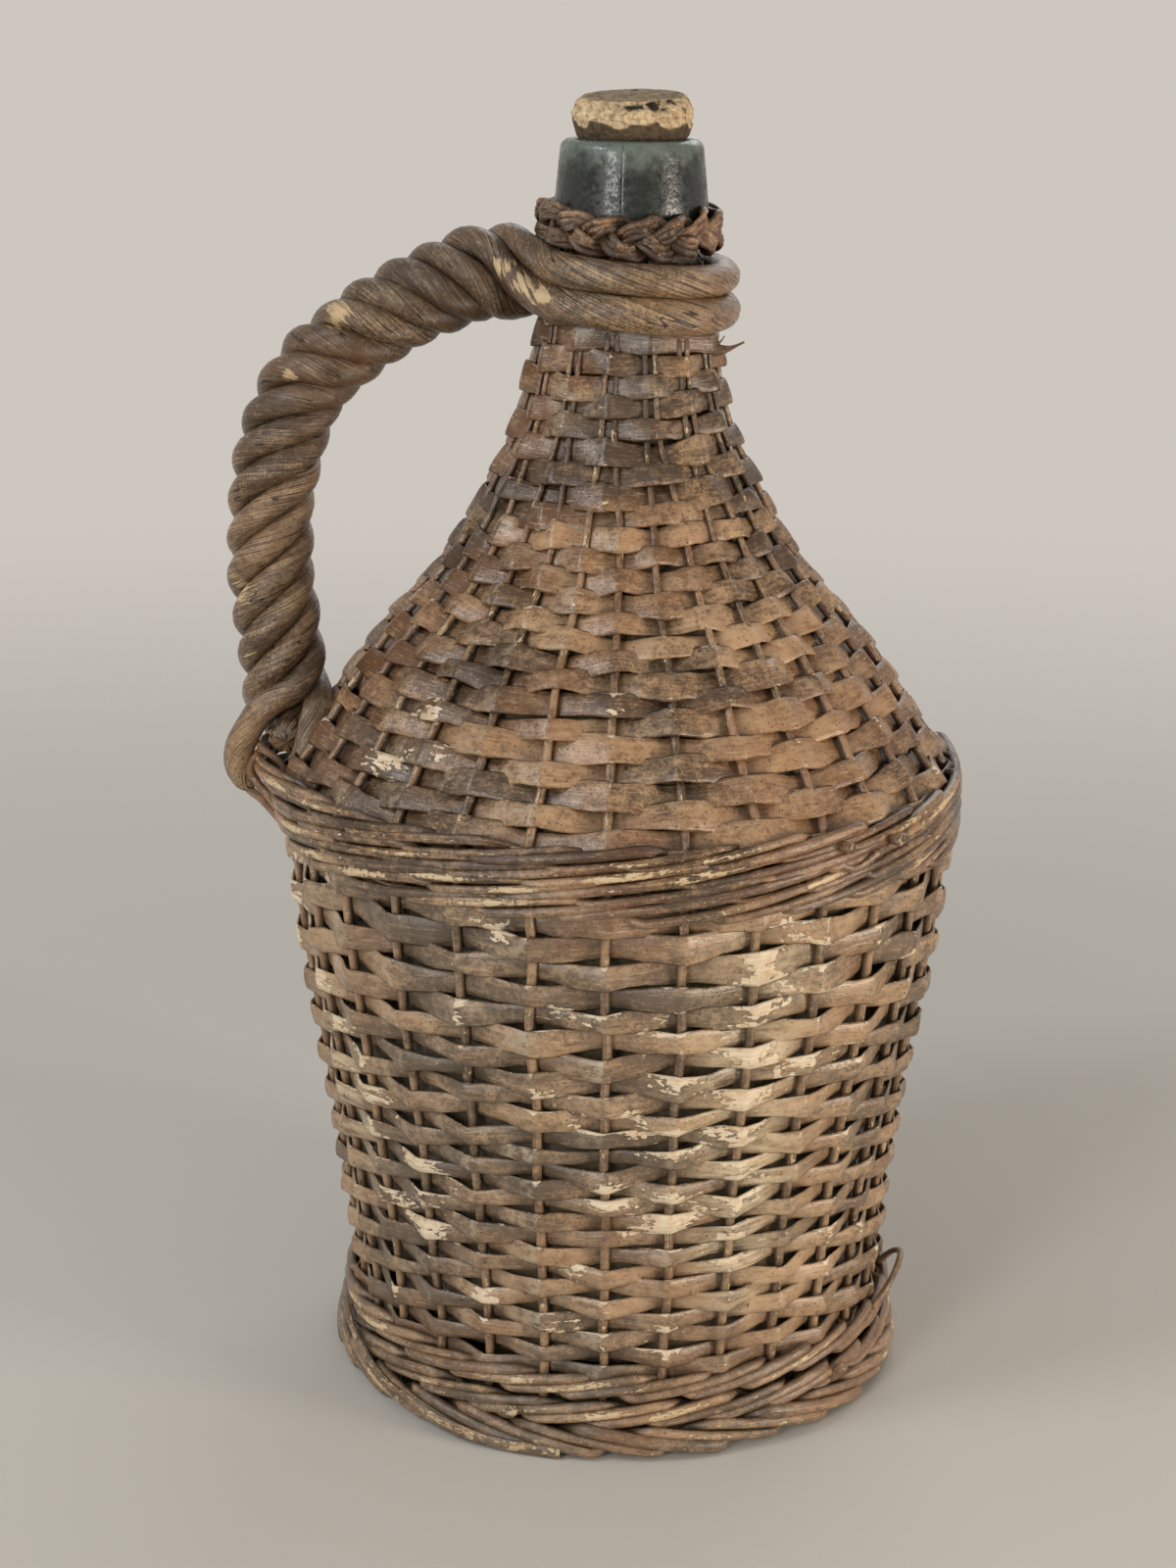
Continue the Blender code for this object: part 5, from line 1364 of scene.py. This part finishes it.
# %% [markdown]
# ## The base
# Under the bottle, sticks cross at the centre and rods are woven round them, over one arm and under the next. It is
# never seen standing up, but a part that can be lifted needs an underside. The rods are swept as in the walls.

# %% Sticks and base weave
ARMS = 16
BASE_PITCH = 5.0 * MM
WEAVER_FROM = 6 * MM
WEAVER_STEPS = 6
WEAVER_ROD = 2.1 * MM
UP = np.array([[0.0, 0.0, 1.0]])
stick_low, stick_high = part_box("base_sticks")
reach = stick_high.x
stick_radius = (stick_high.z - stick_low.z) / 2
for arm in range(ARMS):
    path = polar(np.linspace(3 * MM, reach, 40), math.tau * arm / ARMS, stick_radius)
    places = rod_places(path, UP, stick_radius * 0.97, 10, 950 + arm)
    replaced = ["base_sticks"] if arm == 0 else []
    piece(f"base_stick_{arm + 1:02d}", places, rod_willow, marks={"shade": 0.2}, replaced=replaced)
turns = (reach - WEAVER_FROM) / BASE_PITCH / 2
for strand in range(2):
    step = np.arange(int(turns * ARMS * WEAVER_STEPS)) / WEAVER_STEPS
    radius = WEAVER_FROM + BASE_PITCH * (strand + 2 * step / ARMS)
    wave = np.cos(math.pi * (step + strand))
    height = 6.2 * MM + 2.6 * MM * wave * ease(radius / (25 * MM))
    places = rod_places(polar(radius, math.tau * step / ARMS, height), UP, WEAVER_ROD, 8, 980 + strand)
    replaced = ["base_weave"] if strand == 0 else []
    piece(f"base_weaver_{strand + 1}", places, rod_willow, marks={"shade": 0.3}, replaced=replaced)
print("base reaches", round(reach / MM, 1), "mm")

# %% [markdown]
# ## Camera, floor and light
# The camera repeats the photograph's view, found by fitting rings of the casing. The floor and the world are plain
# and pale. Four soft windows light the willow. The one at the front left puts the dusty sheen on the left facets,
# with a painted sheen beside the folds. A higher one at the left and a low, warm one at the right fill the shadows,
# and one behind draws the outline.

# %% The camera
PITCH_DOWN = math.radians(15.97)
ROLL = math.radians(0.607)
camera_data = bpy.data.cameras.new("photograph_view")
camera_data.sensor_fit = "VERTICAL"
camera_data.sensor_height = 36.0
camera_data.lens = 63.63
camera_data.dof.use_dof = False
camera = bpy.data.objects.new("photograph_view", camera_data)
bpy.context.scene.collection.objects.link(camera)
turn_camera = Matrix.Rotation(math.pi / 2 - PITCH_DOWN, 4, "X") @ Matrix.Rotation(ROLL, 4, "Z")
camera.matrix_world = Matrix.Translation((-0.0139, -1.0553, 0.5372)) @ turn_camera
bpy.context.scene.camera = camera
print("camera:", camera.name)

# %% The floor and the backdrop
HALF_FLOOR = 6.0
floor_corners = [(x * HALF_FLOOR, y * HALF_FLOOR, 0) for x, y in ((-1, -1), (1, -1), (1, 1), (-1, 1))]
floor_mesh = bpy.data.meshes.new("floor")
floor_mesh.from_pydata(floor_corners, [], [(0, 1, 2, 3)])
floor = bpy.data.objects.new("floor", floor_mesh)
bpy.context.scene.collection.objects.link(floor)
paint, tree, shader = new_material("pale_matt_paint")
feed(shader, {"Base Color": "#cbc8c0", "Roughness": 0.9})
floor_mesh.materials.append(paint)
BACKDROP = {"Color": "#cdc7bf", "Strength": 1.0}


def backdrop_seen(tree):
    """1 for the rays that show the background itself, and 0 for those that light the object."""
    rays = add(tree, "ShaderNodeLightPath").node.outputs
    seen = rays["Is Camera Ray"]
    for kind in ("Is Transmission Ray", "Is Glossy Ray"):
        seen = add(tree, "ShaderNodeMath", {0: seen, 1: rays[kind]}, operation="MAXIMUM")
    return seen


# Far from the object the floor passes into the backdrop's colour, as a paper sweep does
place = add(tree, "ShaderNodeTexCoord", out="Object")
from_middle = add(tree, "ShaderNodeVectorMath", {0: place}, out="Value", operation="LENGTH")
passed = soft_share(tree, (from_middle, 0.30, 1.9), times=backdrop_seen(tree))
glow = add(tree, "ShaderNodeEmission", BACKDROP)
surface = add(tree, "ShaderNodeMixShader", {0: passed, 1: shader.outputs[0], 2: glow})
feed(tree.nodes["Material Output"], {"Surface": surface})

world = bpy.data.worlds.new("studio")
bpy.context.scene.world = world
world.use_nodes = True
tree = world.node_tree
background = tree.nodes["Background"]
feed(background, {"Color": "#fbf7f2", "Strength": 0.34})
pale = add(tree, "ShaderNodeBackground", BACKDROP)
choice = add(tree, "ShaderNodeMixShader", {0: backdrop_seen(tree), 1: background.outputs[0], 2: pale})
feed(tree.nodes["World Output"], {"Surface": choice})
print("floor", 2 * HALF_FLOOR, "m wide; world:", world.name)

# %% The windows
def window(name, azimuth, elevation, distance, size, power, colour, aim=0.25):
    """An area lamp that faces the axis at the height aim, from an azimuth counted rightwards from the camera's side."""
    data = bpy.data.lights.new(name, "AREA")
    data.shape = "RECTANGLE"
    data.size, data.size_y = size
    data.energy = power
    data.color = linear(colour)[:3]
    lamp = bpy.data.objects.new(name, data)
    bpy.context.scene.collection.objects.link(lamp)
    a, e = math.radians(azimuth), math.radians(elevation)
    away = Vector((math.sin(a) * math.cos(e), -math.cos(a) * math.cos(e), math.sin(e)))
    lamp.location = Vector((0, 0, aim)) + away * distance
    lamp.rotation_euler = away.to_track_quat("Z", "Y").to_euler()
    print(name, power, "W")


window("front_window", -30, 13, 1.8, (0.4, 0.9), 12.3, "#fffdfa", aim=0.18)
window("left_window", -60, 38, 1.7, (0.45, 0.4), 8.0, "#fbfcff")
window("right_low_window", 62, 4, 1.4, (0.4, 0.6), 14.5, "#fff1e0", aim=0.12)
window("back_window", 160, 35, 2.0, (1.2, 0.8), 8.0, "#f6f8ff")
bpy.context.scene.view_settings.view_transform = "Standard"
